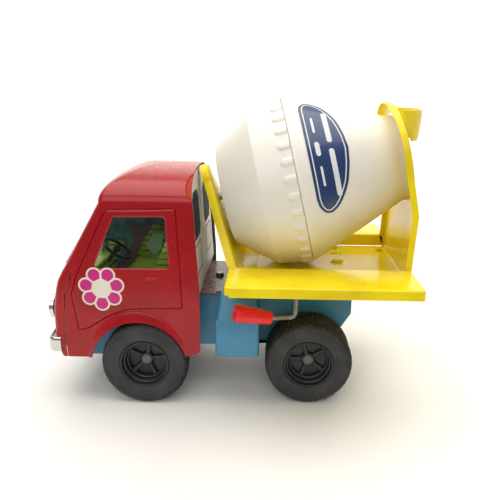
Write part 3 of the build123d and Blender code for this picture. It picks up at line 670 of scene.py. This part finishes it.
def flower():
    """Seven printed petals in a cream border, on both doors."""
    lean = 1.8 / 85.5
    for name, side in (("left", -1), ("right", 1)):
        middle = (-68.9, side * (cab_half(68.1) + 0.36), 68.1)
        place = local_frame(middle, (-side, 0, 0), (0, -side * lean, 1))
        theta = np.linspace(0, 2 * math.pi, 210, endpoint=False)
        off = (theta + math.pi / 2 + math.pi / 7) % (2 * math.pi / 7) - math.pi / 7
        reach = 8.3 * np.cos(off) + np.sqrt(4.25 ** 2 - (8.3 * np.sin(off)) ** 2)
        pile = Pile()
        border = np.column_stack([reach * np.cos(theta), reach * np.sin(theta)])
        points, faces = plate(border, 0, 0.10)
        pile.add(carry(points, place), faces, 1)
        turn = np.linspace(-1.75, 1.75, 25)
        round_end = np.column_stack([8.4 + 3.2 * np.cos(turn), 3.2 * np.sin(turn)])
        petal_shape = rounded(np.vstack([round_end, [(5.3, 1.9), (5.3, -1.9)]]), [0] * 25 + [0.5, 0.5], 3,
                              closed=True)
        for petal in range(7):
            along, across = petal_shape.T
            angle = -math.pi / 2 + petal * 2 * math.pi / 7
            shape = np.column_stack([along * math.cos(angle) - across * math.sin(angle),
                                     along * math.sin(angle) + across * math.cos(angle)])
            points, faces = plate(shape, 0.08, 0.16)
            pile.add(carry(points, place), faces, 0)
        piece = pile.build("door_flower_" + name, TRUCK, "pink_paper", [PINK, CREAM])
        if side < 0:
            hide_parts("flower_stickers")


def rear_wall():
    """White printed back wall, with a lacquered red margin above it and dark window prints."""
    lean = math.atan2(2.6, 48.0)
    angle = np.linspace(0, math.pi, 61)
    power = 2 / 2.05
    crown = np.column_stack([44.0 * np.sign(np.cos(angle)) * np.abs(np.cos(angle)) ** power,
                             FOLD_Z + 14.6 * np.sin(angle) ** power])
    outline = np.vstack([[(-44.8, 61.2), (44.8, 61.2)], crown])
    lower = np.vstack([[(-44.4, 61.3), (44.4, 61.3)],
                       np.column_stack([41.5 * np.sign(np.cos(angle)) * np.abs(np.cos(angle)) ** 0.8,
                                        FOLD_Z - 8 + 20.6 * np.sin(angle)])])
    foot = (rear_at(66) - 2.2 + 66 * math.tan(lean), 0, 0)
    place = local_frame(foot, (0, 1, 0), (-math.sin(lean), 0, math.cos(lean)))
    pile = Pile()
    points, faces = plate(outline, -0.5, 0)
    pile.add(carry(points, place), faces, 0)
    points, faces = plate(lower, -0.02, 0.35)
    pile.add(carry(points, place), faces, 1)
    for side in (-1, 1):
        pane = np.array([(9, 95), (13, 91), (33, 91), (37, 96), (34, 112), (29, 117), (15, 117), (10, 112)])
        pane = (pane * [side, 1])[::side]
        points, faces = plate(rounded(pane, 1.2, 3, closed=True), 0.3, 0.42)
        pile.add(carry(points, place), faces, 2)
        panel = (np.array([(12, 72), (35, 72), (34, 88), (13, 88)]) * [side, 1])[::side]
        edge = rounded(panel, 1.5, 3, closed=True)
        hole = edge - outward(edge) * 0.7
        points, faces = plate(edge, 0.3, 0.40, [hole])
        pile.add(carry(points, place), faces, 2)
    piece = pile.build("cab_back_wall", TRUCK, "printed_tin", [ORANGE, WHITE_TIN, DARK_PRINT])
    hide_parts("cab_rear_wall")


def cab_print():
    """A printed card along the middle of the cab, seen through the side windows."""
    shapes = (([(-88, 62.5), (-41, 62.5), (-41, 98), (-72, 98)], 0.3, 0),
              ([(-73, 64.3), (-65, 64.3), (-50.9, 92.2), (-64.9, 94.7), (-61.2, 83)], 0.4, 1),
              ([(-64.4, 64.3), (-42, 64.3), (-42, 92.6), (-49.9, 92.2), (-56.7, 80.2)], 0.5, 2),
              ([(-85, 65.5), (-75.6, 65.5), (-66.7, 81.1), (-75.5, 83)], 0.4, 2),
              ([(-54.9, 79.3), (-49, 72.5), (-44.9, 78.3), (-43.5, 86.9), (-49.5, 86.9)], 0.6, 3))
    pile = Pile()
    for outline, half, mark in shapes:
        points, faces = plate(rounded(outline, 1.2, 3, closed=True), -half, half)
        pile.add(points[:, [0, 2, 1]] * [1, -1, 1], faces, mark)
    pile.build("cab_card", TRUCK, "seat_print", [TEAL_PRINT, BROWN_PRINT, SEAT, PALE_PRINT])


def bumper():
    """Bowed bright bar that wraps round the corners of the nose."""
    half = [(-93.2, 46.5), (-99.9, 46.5), (-101.6, 30)]
    corners = [(x, -y) for x, y in half] + [(-102.0, 0)] + half[::-1]
    path = rounded(corners, [0, 4.2, 60, 60, 60, 4.2, 0], 10)
    run = np.gradient(path, axis=0)
    out = np.column_stack([-run[:, 1], run[:, 0]])
    out /= np.linalg.norm(out, axis=1)[:, None]
    rise = np.linspace(-1, 1, 13)
    section = [(0.6 - 0.7 * abs(s) ** 5, 35.4 + 4.2 * s) for s in rise] + [(-0.6, 39.5), (-0.6, 31.3)]
    rings = [np.column_stack([path + out * away, np.full(len(path), z)]) for away, z in section]
    grid = np.stack(rings, 1)
    count = len(section)
    faces = quads(len(path), count, around=True, flip=True).tolist()
    faces.append(list(range(count)))
    faces.append([(len(path) - 1) * count + n for n in range(count)][::-1])
    piece = build("bright_bumper", grid.reshape(-1, 3), faces, TRUCK, "bright_metal", [CHROME], 40)
    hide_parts("front_bumper")


# ---------------------------------------------------------------- wheels
NOTCHES = 88
WHEEL_R, FRONT_AXLE_X, REAR_AXLE_X = 24.2, -48, 42.6
FRONT_OUT, REAR_OUT = 46.5, 43.0        # outer faces of the tyres
TYRE_WIDTH, PAIR_STEP = 10.5, 11.1
CAP_DEEP = 6.8                          # depth of the axle cap behind the tyre's face


def tyre(name, x, outer, side, body):
    """Tyre with a zigzag of small tread blocks that run over the shoulder."""
    half = TYRE_WIDTH / 2
    wall = [(13.6, -4.3), (13.9, -4.9), (14.5, -5.2), (15.2, -5.25), (17.5, -5.25), (19.9, -5.2),
            (20.3, -4.95), (20.7, -5.1), (21.2, -5.15)]
    shoulder = [(WHEEL_R - 3.0 * (1 - math.sin(t)), -2.65 - 2.5 * math.cos(t))
                for t in np.linspace(0.1, 1.45, 10)]
    tread = [(WHEEL_R, y) for y in np.linspace(-2.4, 2.4, 15)]
    near = wall + shoulder
    profile = np.array(near + tread + [(r, -y) for r, y in reversed(near)])

    def relief(height, angle, index):
        zigzag = np.abs(((height + 10.5) / 1.75) % 2 - 1) * 0.5
        wave = np.cos(NOTCHES * angle + zigzag * 2 * math.pi)
        cut = 0.5 - 0.5 * np.tanh(2.2 * (wave - 0.1))
        zone = np.clip((profile[:, 0] - 20.9) / 0.7, 0, 1)[index]
        rows = 0.5 + 0.5 * np.cos(height / 1.75 * 2 * math.pi)
        return -zone * (1.05 * cut + 0.2 * rows * (np.abs(height) < 4))

    place = local_frame((x, side * (outer - half), WHEEL_R), (1, 0, 0), (0, 0, -side))
    points, faces = lathe(profile, NOTCHES * 7, place, relief)
    inner = lathe([(13.6, 4.3), (13.6, -4.3)], NOTCHES * 7, place)
    pile = Pile()
    pile.add(points, faces)
    pile.add(*inner)
    piece = pile.build(name + "_rubber", body, "black_rubber", [RUBBER], 40)
    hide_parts(name)


def hub(name, x, outer, width, side, body, turn):
    """Wheel disc: deep rim, five tapered spokes and a round boss."""
    place = local_frame((x, side * outer, WHEEL_R), (1, 0, 0), (0, 0, -side))
    rim = [(13.62, -width), (13.62, -0.55), (13.45, -0.2), (13.0, -0.05), (12.7, -0.2), (12.5, -0.8),
           (12.2, -2.6), (11.9, -2.9), (11.5, -3.0), (11.3, -3.3), (10.9, -5.6), (10.6, -5.9),
           (10.2, -6.0), (9.9, -8.6), (3.0, -8.9)]
    back = [(4.4, -width), (13.62, -width)]
    boss = [(4.2, -8.8), (3.8, -7.4), (3.6, -6.9), (3.3, -6.7), (2.9, -6.65)]
    pile = Pile()
    pile.add(*lathe(rim[::-1], 96, place))
    pile.add(*lathe(boss, 48, place))
    pile.add(*lathe(back[::-1], 48, place))
    for spoke in range(5):
        angle = turn + spoke * 2 * math.pi / 5
        rings = []
        for r, drop, half_width in ((2.6, 7.1, 1.15), (5, 7.1, 1.05), (8, 7.0, 1.05), (10.2, 6.7, 1.3)):
            section = rounded([(-half_width - 0.2, -8.9), (half_width + 0.2, -8.9), (half_width, -drop),
                               (-half_width, -drop)], [0, 0, 0.45, 0.45], 3, closed=True)
            rings.append(np.column_stack([np.full(len(section), r), section]))
        points = np.concatenate(rings)
        turned_x = points[:, 0] * math.cos(angle) - points[:, 1] * math.sin(angle)
        turned_y = points[:, 0] * math.sin(angle) + points[:, 1] * math.cos(angle)
        points = np.column_stack([turned_x, turned_y, points[:, 2]])
        pile.add(carry(points, place), quads(len(rings), len(section), around=True))
    piece = pile.build(name + "_disc", body, "black_plastic", [BLACK], 35)
    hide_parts(name)


def axle_cap(name, x, outer, side, body):
    place = local_frame((x, side * (outer - CAP_DEEP), WHEEL_R), (1, 0, 0), (0, 0, -side))
    dome = [(0.01, 1.0), (2.0, 0.98), (2.6, 0.86), (2.95, 0.55), (3.05, 0.15), (3.05, -0.3)]
    piece = build(name + "_dome", *lathe(dome[::-1], 40, place), body, "bright_metal", [CAP_GREY])
    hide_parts(name)


def wheels():
    twin = TYRE_WIDTH + PAIR_STEP
    for word, side in (("left", -1), ("right", 1)):
        tyre(f"front_tyre_{word}", FRONT_AXLE_X, FRONT_OUT, side, "front_wheels")
        hub(f"front_hub_{word}", FRONT_AXLE_X, FRONT_OUT, TYRE_WIDTH, side, "front_wheels", math.radians(8))
        axle_cap(f"front_cap_{word}", FRONT_AXLE_X, FRONT_OUT, side, "front_wheels")
        tyre(f"rear_outer_tyre_{word}", REAR_AXLE_X, REAR_OUT, side, "rear_wheels")
        tyre(f"rear_inner_tyre_{word}", REAR_AXLE_X, REAR_OUT - PAIR_STEP, side, "rear_wheels")
        hub(f"rear_hub_{word}", REAR_AXLE_X, REAR_OUT, twin, side, "rear_wheels", math.radians(-110))
        axle_cap(f"rear_cap_{word}", REAR_AXLE_X, REAR_OUT, side, "rear_wheels")


# ---------------------------------------------------------------- lever
def lever():
    z, arm = 68.1, -50.5
    corners = [(14, arm - 3.6, z - 10.4), (20.5, arm - 2.2, z - 12), (33.8, arm, z - 12), (33.8, arm, z),
               (33.8, -13, z), (5.6, -13, z), (5.6, 13, z), (33.8, 13, z), (33.8, 24, z)]
    path = rounded(corners, [0, 20, 2.6, 2.6, 2.6, 2.6, 2.6, 2.6, 0], 8)
    wire = build("lever_bar", *tube(path, 1.25, 20), LEVER, "steel", [STEEL])
    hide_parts("lever_wire")
    small, big = np.array([21.7, arm - 2.1, z - 12.0]), np.array([2.6, arm - 6.4, z - 7.6])
    ahead = (big - small) / np.linalg.norm(big - small)
    side = np.cross(ahead, (0, 0, 1))
    place = local_frame(small, side, np.cross(ahead, side))
    length = float(np.linalg.norm(big - small))
    profile = [(1.3, 0.5), (2.2, 0.05), (2.9, 0.1), (3.3, 0.45), (3.5, 1.0), (4.1, length * 0.5),
               (4.75, length - 1.6), (4.72, length - 0.8), (4.35, length - 0.2), (3.75, length),
               (3.2, length - 0.25), (2.6, length - 0.9), (1.2, length - 1.15), (0.01, length - 1.2)]
    grip = build("lever_knob", *lathe(profile, 64, place), LEVER, "red_plastic", [GRIP_RED], 50)
    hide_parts("lever_grip")


# ---------------------------------------------------------------- mixer bed
BED_FRONT, BED_REAR, BED_HALF, FLAP_HALF = -1.8, 95.4, 36.8, 67.8
FLAP_Z, FLOOR_Z, LIP = 78.3, 70.5, 5.3


def bed():
    """Two folded flaps, their walls and the slotted floor, all of one sheet."""
    pile = Pile()
    for side in (-1, 1):
        corners = [(BED_FRONT, BED_HALF), (BED_REAR, BED_HALF), (BED_REAR, FLAP_HALF), (BED_FRONT, FLAP_HALF)]
        path = rounded(corners, [0.8, 0.8, 1.6, 1.6], 5, closed=True)
        outline = resample(path, 300, closed=True)
        depth = np.where(outline[:, 1] < BED_HALF + 0.4, FLAP_Z - FLOOR_Z - 0.3, LIP)
        near = np.hypot(outline[:, 0] - BED_FRONT, outline[:, 1] - FLAP_HALF)
        depth = np.where((near < 2.6) & (near > 0.4), LIP - 1.2, depth)
        points, faces = pan(outline, depth, 1.0)
        points = points * [1, side, 1] + [0, 0, FLAP_Z]
        pile.add(points, faces if side > 0 else [face[::-1] for face in faces])
    slots = []
    for places, x0, x1, half, corner in (((-28, 0, 28), 56.5, 65, 1.6, 0.8), ((-18, 18), 58.6, 65.4, 1, 0.5)):
        for y in places:
            slot = [(x0, y - half), (x1, y - half), (x1, y + half), (x0, y + half)]
            slots.append(rounded(slot, corner, 3, closed=True))
    edge = BED_HALF - 0.2
    outline = rounded([(BED_FRONT, -edge), (BED_REAR, -edge), (BED_REAR, edge), (BED_FRONT, edge)], 0.6, 3,
                      closed=True)
    flat, faces = fill(outline, slots)
    pile.add(np.column_stack([flat, np.full(len(flat), FLOOR_Z)]), faces)
    sheet = pile.build("yellow_bed", BED, "yellow_tin", [YELLOW], 40, thick=TIN)
    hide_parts("mixer_bed")
    tabs = Pile()
    for y in (-28, 0, 28):
        points, faces = block((57.5, y - 0.4, FLOOR_Z - 0.5), (64, y + 0.4, FLOOR_Z + 1.7), 0.3)
        tabs.add(points, faces)
    for y in (-24.4, 24.4):
        points, faces = block((59.5, y - 0.4, 66.2), (64.5, y + 0.4, FLOOR_Z - 0.3), 0.3)
        tabs.add(points, faces)
    tabs.build("bed_tabs", BED, "yellow_tin", [YELLOW])


def front_plate():
    """Tall folded triangle that carries the drum's pin."""
    tilt = math.radians(19.5)
    place = local_frame((4.7, 0, FLOOR_Z - 0.8), (0, 1, 0), (-math.sin(tilt), 0, math.cos(tilt)))
    right = [(35.6, 0.9), (33.3, 6.7), (29.5, 13.3), (21.6, 30.7), (11.2, 48), (8.2, 54)]
    tip = [(8.3 * math.cos(t), 54.6 + 8.4 * math.sin(t)) for t in np.linspace(0.12, math.pi - 0.12, 13)]
    half = np.array(right + tip + [(-x, y) for x, y in reversed(right)])
    outline = resample(rounded(half, 3.0, 3, closed=True), 260, closed=True)
    lift = np.clip((outline[:, 1] - 1.5) / 9.0, 0, 1)
    depth = 1.1 + 3.7 * lift
    points, faces = pan(outline, depth, 1.1)
    points = carry(points, place)
    plate_piece = build("front_stand", points, faces, BED, "yellow_tin", [YELLOW], 40, thick=TIN)
    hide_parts("front_support")
    foot = Pile()
    foot.add(*block((4.6, -33.5, FLOOR_Z), (13, 33.5, FLOOR_Z + 0.7), 0.3))
    for y in (-30.5, 30.5):
        wing = [(4.2, FLOOR_Z + 0.3), (13.0, FLOOR_Z + 0.3), (3.2, FLOOR_Z + 8)]
        section = local_frame((0, y, 0), (1, 0, 0), (0, 0, 1))
        points, faces = plate(rounded(wing, 0.6, 3, closed=True), -0.4, 0.4)
        foot.add(carry(points, section), faces)
    foot.build("front_stand_foot", BED, "yellow_tin", [YELLOW])


def rear_stand():
    """Sheet that rises from the bed, bends forward and rings the drum's neck."""
    half, spring, rise = 37.4, 31.3, 58.0
    leg_low, bend = np.array([95.3, FLOOR_Z]), np.array([97.0, 107.4])
    leg = float(np.linalg.norm(bend - leg_low))
    turn = np.linspace(0, math.pi, 49)
    top = [(half * math.cos(t), leg + spring + (rise - spring) * math.sin(t)) for t in turn]
    outline = np.array([(-half, 0), (half, 0)] + top)
    outline = resample(rounded(outline, [0.6, 0.6] + [0] * len(top), 3, closed=True), 340, closed=True)
    around = np.linspace(0, 2 * math.pi, 120, endpoint=False)
    centre = leg + 26.6
    hole = np.column_stack([24.9 * np.cos(around), centre + 24.9 * np.sin(around)])
    bend_rows = [(y, leg + s) for s in (-1.0, -0.5, 0, 0.5, 1.0) for y in np.linspace(-35, 35, 15)]
    lift = np.clip((outline[:, 1] - 0.5) / 6, 0, 1)
    depth = 1.1 + 2.5 * lift
    points, faces = pan(outline, depth, 1.0, [hole], bend_rows)
    lean = math.radians(12)
    low_way = (bend - leg_low) / leg
    high_way = np.array([-math.sin(lean), math.cos(lean)])
    s = points[:, 1]
    share = np.clip((s - leg + 1.0) / 2.0, 0, 1)
    base = leg_low + np.minimum(s, leg)[:, None] * low_way + np.maximum(s - leg, 0)[:, None] * high_way
    way = low_way + share[:, None] * (high_way - low_way)
    way /= np.linalg.norm(way, axis=1)[:, None]
    toward = np.column_stack([way[:, 1], -way[:, 0]])
    world = base + toward * points[:, 2:]
    placed = np.column_stack([world[:, 0], points[:, 0], world[:, 1]])
    sheet = build("rear_stand", placed, faces, BED, "yellow_tin", [YELLOW], 40, thick=TIN)
    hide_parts("rear_support")


def funnel():
    """Half bowl behind the stand's top, wide at its rim and narrow at its foot."""
    levels = np.linspace(0, 1, 16)
    rings = []
    lean = math.tan(math.radians(12))
    for t in levels:
        z = 143.6 + 16.2 * t
        reach, wide = 4.9 + 8.45 * t ** 0.9, 9.2 + 9.8 * t ** 0.9
        centre = 95.6 - 7.2 * t
        angle = np.linspace(-math.pi / 2, math.pi / 2, 49)
        x = centre + reach * np.cos(angle)
        y = wide * np.sin(angle)
        back = 97.0 - (z - 107.4) * lean + 0.2
        rings.append(np.column_stack([np.maximum(x, back), y, np.full(49, z)]))
    lip = rings[-1] + [0.25, 0, 0.35]
    rings.append(lip)
    piece = build("funnel_bowl", np.concatenate(rings), quads(len(rings), 49, flip=True), BED, "yellow_tin",
                  [YELLOW], 60, thick=0.7)
    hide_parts("pouring_funnel")


def drum_frame():
    tilt = math.radians(13)
    return local_frame((35.2, 0, 120), (0, 1, 0), (-math.sin(tilt), 0, math.cos(tilt)))


# ---------------------------------------------------------------- drum
RING_R, SHOULDER_R, BASE_R, CONE_R, NECK_R = 47.0, 45.3, 29.5, 26.4, 24.2
SHOULDER_A, BASE_A, CONE_A, NECK_A = -19.5, -41.0, 50.0, 61.0
RIBS = 34
WALL = 1.6


def drum_shells():
    place = drum_frame()
    outer = rounded([(4.5, BASE_A), (BASE_R, BASE_A), (SHOULDER_R, SHOULDER_A), (RING_R, -0.7)],
                    [0, 1.8, 2.6, 0], 6)
    rows = resample(outer[-2:], 40)
    profile = np.vstack([outer[:-1], rows[1:], [(RING_R - 0.15, -0.25), (RING_R - 0.7, -0.12)]])
    inside = np.array([(RING_R - WALL, -0.12), (SHOULDER_R - WALL, SHOULDER_A + 0.5),
                       (BASE_R - 1.0, BASE_A + WALL), (4.5, BASE_A + WALL), (4.5, BASE_A)])
    profile = np.vstack([profile, inside])

    def ribs(height, angle, index):
        pitch = 2 * math.pi / RIBS
        across = ((angle + pitch / 2) % pitch - pitch / 2) * RING_R
        beyond = np.maximum(0, -4.9 - height)
        away = np.hypot(across, beyond) / 1.95
        outside = (index < len(profile) - 7) & (height > -9) & (height < 0.1)
        return outside * 0.95 * np.sqrt(np.clip(1 - away ** 3, 0, 1))

    shell = build("drum_base", *lathe(profile, RIBS * 18, place, ribs), DRUM, "white_plastic", [IVORY], 40)
    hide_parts("drum_base_shell")
    cone = rounded([(RING_R - WALL, 0.0), (RING_R + 0.35, 0.0), (RING_R + 0.35, 1.4), (CONE_R, CONE_A),
                    (NECK_R, CONE_A + 4.6), (NECK_R, NECK_A), (NECK_R - WALL, NECK_A),
                    (NECK_R - WALL, CONE_A + 4), (CONE_R - WALL, CONE_A - 1), (RING_R - WALL, 1.2),
                    (RING_R - WALL, 0.0)],
                   [0, 0.3, 0.6, 5, 3, 0.6, 0.6, 3, 5, 0, 0], 6)
    shell = build("drum_cone", *lathe(cone, 200, place), DRUM, "white_plastic", [IVORY], 40)
    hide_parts("drum_cone_shell")


def cone_radius(a):
    return np.interp(a, [1.6, CONE_A], [RING_R + 0.3, CONE_R])


def label_half(a):
    """Half of the label's width, in degrees, at a distance from the joint ring."""
    return np.interp(a, [7.3, 8, 10.5, 14, 17.5, 20, 23, 25, 27.2, 28.3],
                     [33, 38.5, 44, 46, 43.8, 40, 33, 26.5, 14, 0])


def labels():
    """Navy label with a fine white border and plain bars, on both sides of the drum."""
    place = drum_frame()
    steps_a, steps_t = 60, 150
    a, t = np.meshgrid(np.linspace(7.3, 28.4, steps_a), np.linspace(-47, 47, steps_t), indexing="ij")
    grid = np.column_stack([a.ravel(), np.radians(t.ravel())])
    levels = np.array([7.3, 7.5, 8, 9, 10.5, 12, 14, 16, 17.5, 20, 23, 25, 26.4, 27.4, 28, 28.3])
    edge = np.column_stack([levels, np.radians(label_half(levels))])
    rim = np.vstack([edge, (edge * [1, -1])[::-1][1:]])
    rim = rounded(np.column_stack([rim[:, 0], rim[:, 1] * cone_radius(rim[:, 0])]), 2.0, 3, closed=True)
    rim = resample(rim, 160, closed=True)

    def flat(p):
        return np.column_stack([p[:, 0], p[:, 1] * cone_radius(p[:, 0])])

    bars = [((19.4, 1.5), (19.4, 23.5), 1.35), ((19.4, -21.5), (19.4, -4.5), 1.35),
            ((12.6, 9.5), (12.6, 18.5), 0.6), ((12.6, -18.5), (12.6, -9.5), 0.6),
            ((12.6, -2.6), (12.6, 2.6), 1.2)]

    def bar_value(p):
        best = np.full(len(p), -9.0)
        for start, end, wide in bars:
            best = np.maximum(best, wide - path_distance(p, [start, end], closed=False))
        return best

    points, faces = grid, quads(steps_a, steps_t).tolist()
    for offset in (0, 1.35, 1.95):
        points, faces = split(points, faces, inside_by(flat(points), rim) - offset)
    points, faces = split(points, faces, bar_value(flat(points)))
    middle = flat(centres(points, faces))
    depth = inside_by(middle, rim)
    inside = depth > 0
    white = (((depth > 1.35) & (depth < 1.95)) | (bar_value(middle) > 0))[inside].astype(int)
    points, faces = keep(points, faces, inside)
    slope = math.atan2(RING_R + 0.3 - CONE_R, CONE_A - 1.6)
    radius = cone_radius(points[:, 0]) + 0.14
    height = points[:, 0] + 0.14 * math.sin(slope)
    turned_out = [face[::-1] for face in faces]
    for name, turn in (("near", math.radians(153)), ("far", math.radians(-27))):
        angle = points[:, 1] + turn
        local = np.column_stack([radius * np.cos(angle), radius * np.sin(angle), height])
        piece = build("drum_label_" + name, carry(local, place), turned_out, DRUM, "navy_paper",
                      [NAVY, LABEL_WHITE], marks=white, thick=0.1)
        if name == "near":
            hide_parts("drum_labels")


# ---------------------------------------------------------------- moulded and boxy parts
def softened(node, name, body, material, edge, steps=2):
    """A copy of a CAD piece with its edges rounded off."""
    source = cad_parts[node]
    mesh = source.data.copy()
    mesh.name = name
    made = bpy.data.objects.new(name, mesh)
    bpy.context.scene.collection.objects.link(made)
    work = bmesh.new()
    work.from_mesh(mesh)
    bmesh.ops.remove_doubles(work, verts=work.verts, dist=1e-6)
    bmesh.ops.dissolve_limit(work, angle_limit=math.radians(1.5), verts=work.verts, edges=work.edges)
    work.to_mesh(mesh)
    work.free()
    mesh.materials.clear()
    mesh.materials.append(material)
    bevel = made.modifiers.new("soft edges", "BEVEL")
    bevel.width = edge * MM
    bevel.segments = steps
    bevel.angle_limit = math.radians(30)
    bevel.harden_normals = True
    mesh.polygons.foreach_set("use_smooth", np.ones(len(mesh.polygons), bool))
    mesh.set_sharp_from_angle(angle=math.radians(40))
    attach(made, body)
    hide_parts(node)
    return made


def repaint(material, *nodes):
    for node in nodes:
        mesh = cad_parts[node].data
        for n in range(len(mesh.materials)):
            mesh.materials[n] = material
        if not len(mesh.materials):
            mesh.materials.append(material)


def small_parts():
    softened("chassis", "blue_chassis", TRUCK, BLUE, 0.9, 3)
    for node, name, slot, material, edge in (
            ("chassis_cover", "maroon_cover", "maroon_tin", MAROON, 0.3),
            ("bumper_stays", "bumper_brackets", "bright_metal", CHROME, 0.3),
            ("lever_saddles", "shaft_saddles", "maroon_tin", STEEL, 0.2),
            ("hinge_bracket", "tail_bracket", "maroon_tin", STEEL, 0.2),
            ("dashboard", "cab_dash", "seat_print", SEAT, 0.8),
            ("seat_left", "near_seat", "seat_print", SEAT, 1.0),
            ("seat_right", "far_seat", "seat_print", SEAT, 1.0),
            ("cab_floor", "cab_floor_plate", "printed_tin", LINING, 0.3),
            ("grille", "radiator_grille", "bright_metal", CHROME, 0.25)):
        softened(node, name, TRUCK, material, edge)
    repaint(BLACK, "steering_wheel")
    pane = softened("windscreen", "screen_film", TRUCK, GLASS, 0.1)
    for corner in pane.data.vertices:
        corner.co.x += 1.6 * MM
    repaint(GLASS, "side_windows", "headlamp_left_lens", "headlamp_right_lens")
    repaint(CHROME, "headlamp_left", "headlamp_right", "drum_push_nut")
    repaint(GLOSS_BLACK, "cover_screws")
    repaint(STEEL, "front_axle", "rear_axle", "hinge_pin", "drum_pin")
    repaint(YELLOW, "support_rivets")


# ---------------------------------------------------------------- studio
def studio():
    """White sweep, soft overhead, fill and backdrop lights, and a plain world."""
    white = finish_material("sweep_paper", [(0.88, 0.87, 0.84), (0.92, 0.91, 0.88)], (0.5, 0.7), scale=3.0)
    front, back, wide, tall = -0.24, 1.1, 1.8, 1.6
    profile = rounded([(front, 0), (back, 0), (back, tall)], 0.5, 24)
    rows = []
    for y, z in profile:
        rows += [(-wide, y, z), (wide, y, z)]
    mesh = bpy.data.meshes.new("studio_sweep")
    mesh.from_pydata(rows, [], quads(len(profile), 2, flip=True).tolist())
    mesh.materials.append(white)
    mesh.polygons.foreach_set("use_smooth", np.ones(len(mesh.polygons), bool))
    sweep = bpy.data.objects.new("studio_sweep", mesh)
    bpy.context.scene.collection.objects.link(sweep)

    def soft_light(name, at, toward, size, power, colour=(1, 0.98, 0.94)):
        data = bpy.data.lights.new(name, "AREA")
        data.shape = "RECTANGLE"
        data.size, data.size_y = size
        data.energy = power
        data.color = colour
        lamp = bpy.data.objects.new(name, data)
        bpy.context.scene.collection.objects.link(lamp)
        lamp.location = at
        lamp.rotation_euler = (Vector(toward) - Vector(at)).to_track_quat("-Z", "Y").to_euler()

    soft_light("ceiling", (0.0, 0.1, 1.1), (0, 0.1, 0), (1.5, 1.2), 15)
    soft_light("front_fill", (-0.2, -1.3, 1.0), (0, 0, 0.08), (1.6, 0.9), 8.5)
    soft_light("backdrop", (0, 0.45, 0.9), (0, 1.1, 0.5), (2.4, 0.5), 9)

    world = bpy.data.worlds.new("studio_air")
    world.use_nodes = True
    world.node_tree.nodes["Background"].inputs["Color"].default_value = (1, 0.98, 0.95, 1)
    world.node_tree.nodes["Background"].inputs["Strength"].default_value = 0.3
    bpy.context.scene.world = world
    bpy.context.scene.view_settings.view_transform = "Standard"


def camera():
    """A phone's view from slightly above, at the truck's left side."""
    data = bpy.data.cameras.new("view")
    data.lens = 39.58
    data.sensor_width = 36
    data.clip_start = 0.02
    eye = bpy.data.objects.new("view", data)
    bpy.context.scene.collection.objects.link(eye)
    yaw, pitch, roll = (math.radians(v) for v in (-2.22, 16.59, 0.29))
    forward = Vector((math.sin(yaw) * math.cos(pitch), math.cos(yaw) * math.cos(pitch), -math.sin(pitch)))
    right = Vector((math.cos(yaw), -math.sin(yaw), 0))
    up = right.cross(forward)
    r = right * math.cos(roll) + up * math.sin(roll)
    u = up * math.cos(roll) - right * math.sin(roll)
    turn = Matrix((r, u, -forward)).transposed()
    eye.matrix_world = Matrix.Translation((0.0205, -0.3162, 0.1715)) @ turn.to_4x4()
    bpy.context.scene.camera = eye


camera()
studio()
cab()
flower()
rear_wall()
cab_print()
bumper()
wheels()
lever()
bed()
front_plate()
rear_stand()
funnel()
drum_shells()
labels()
small_parts()
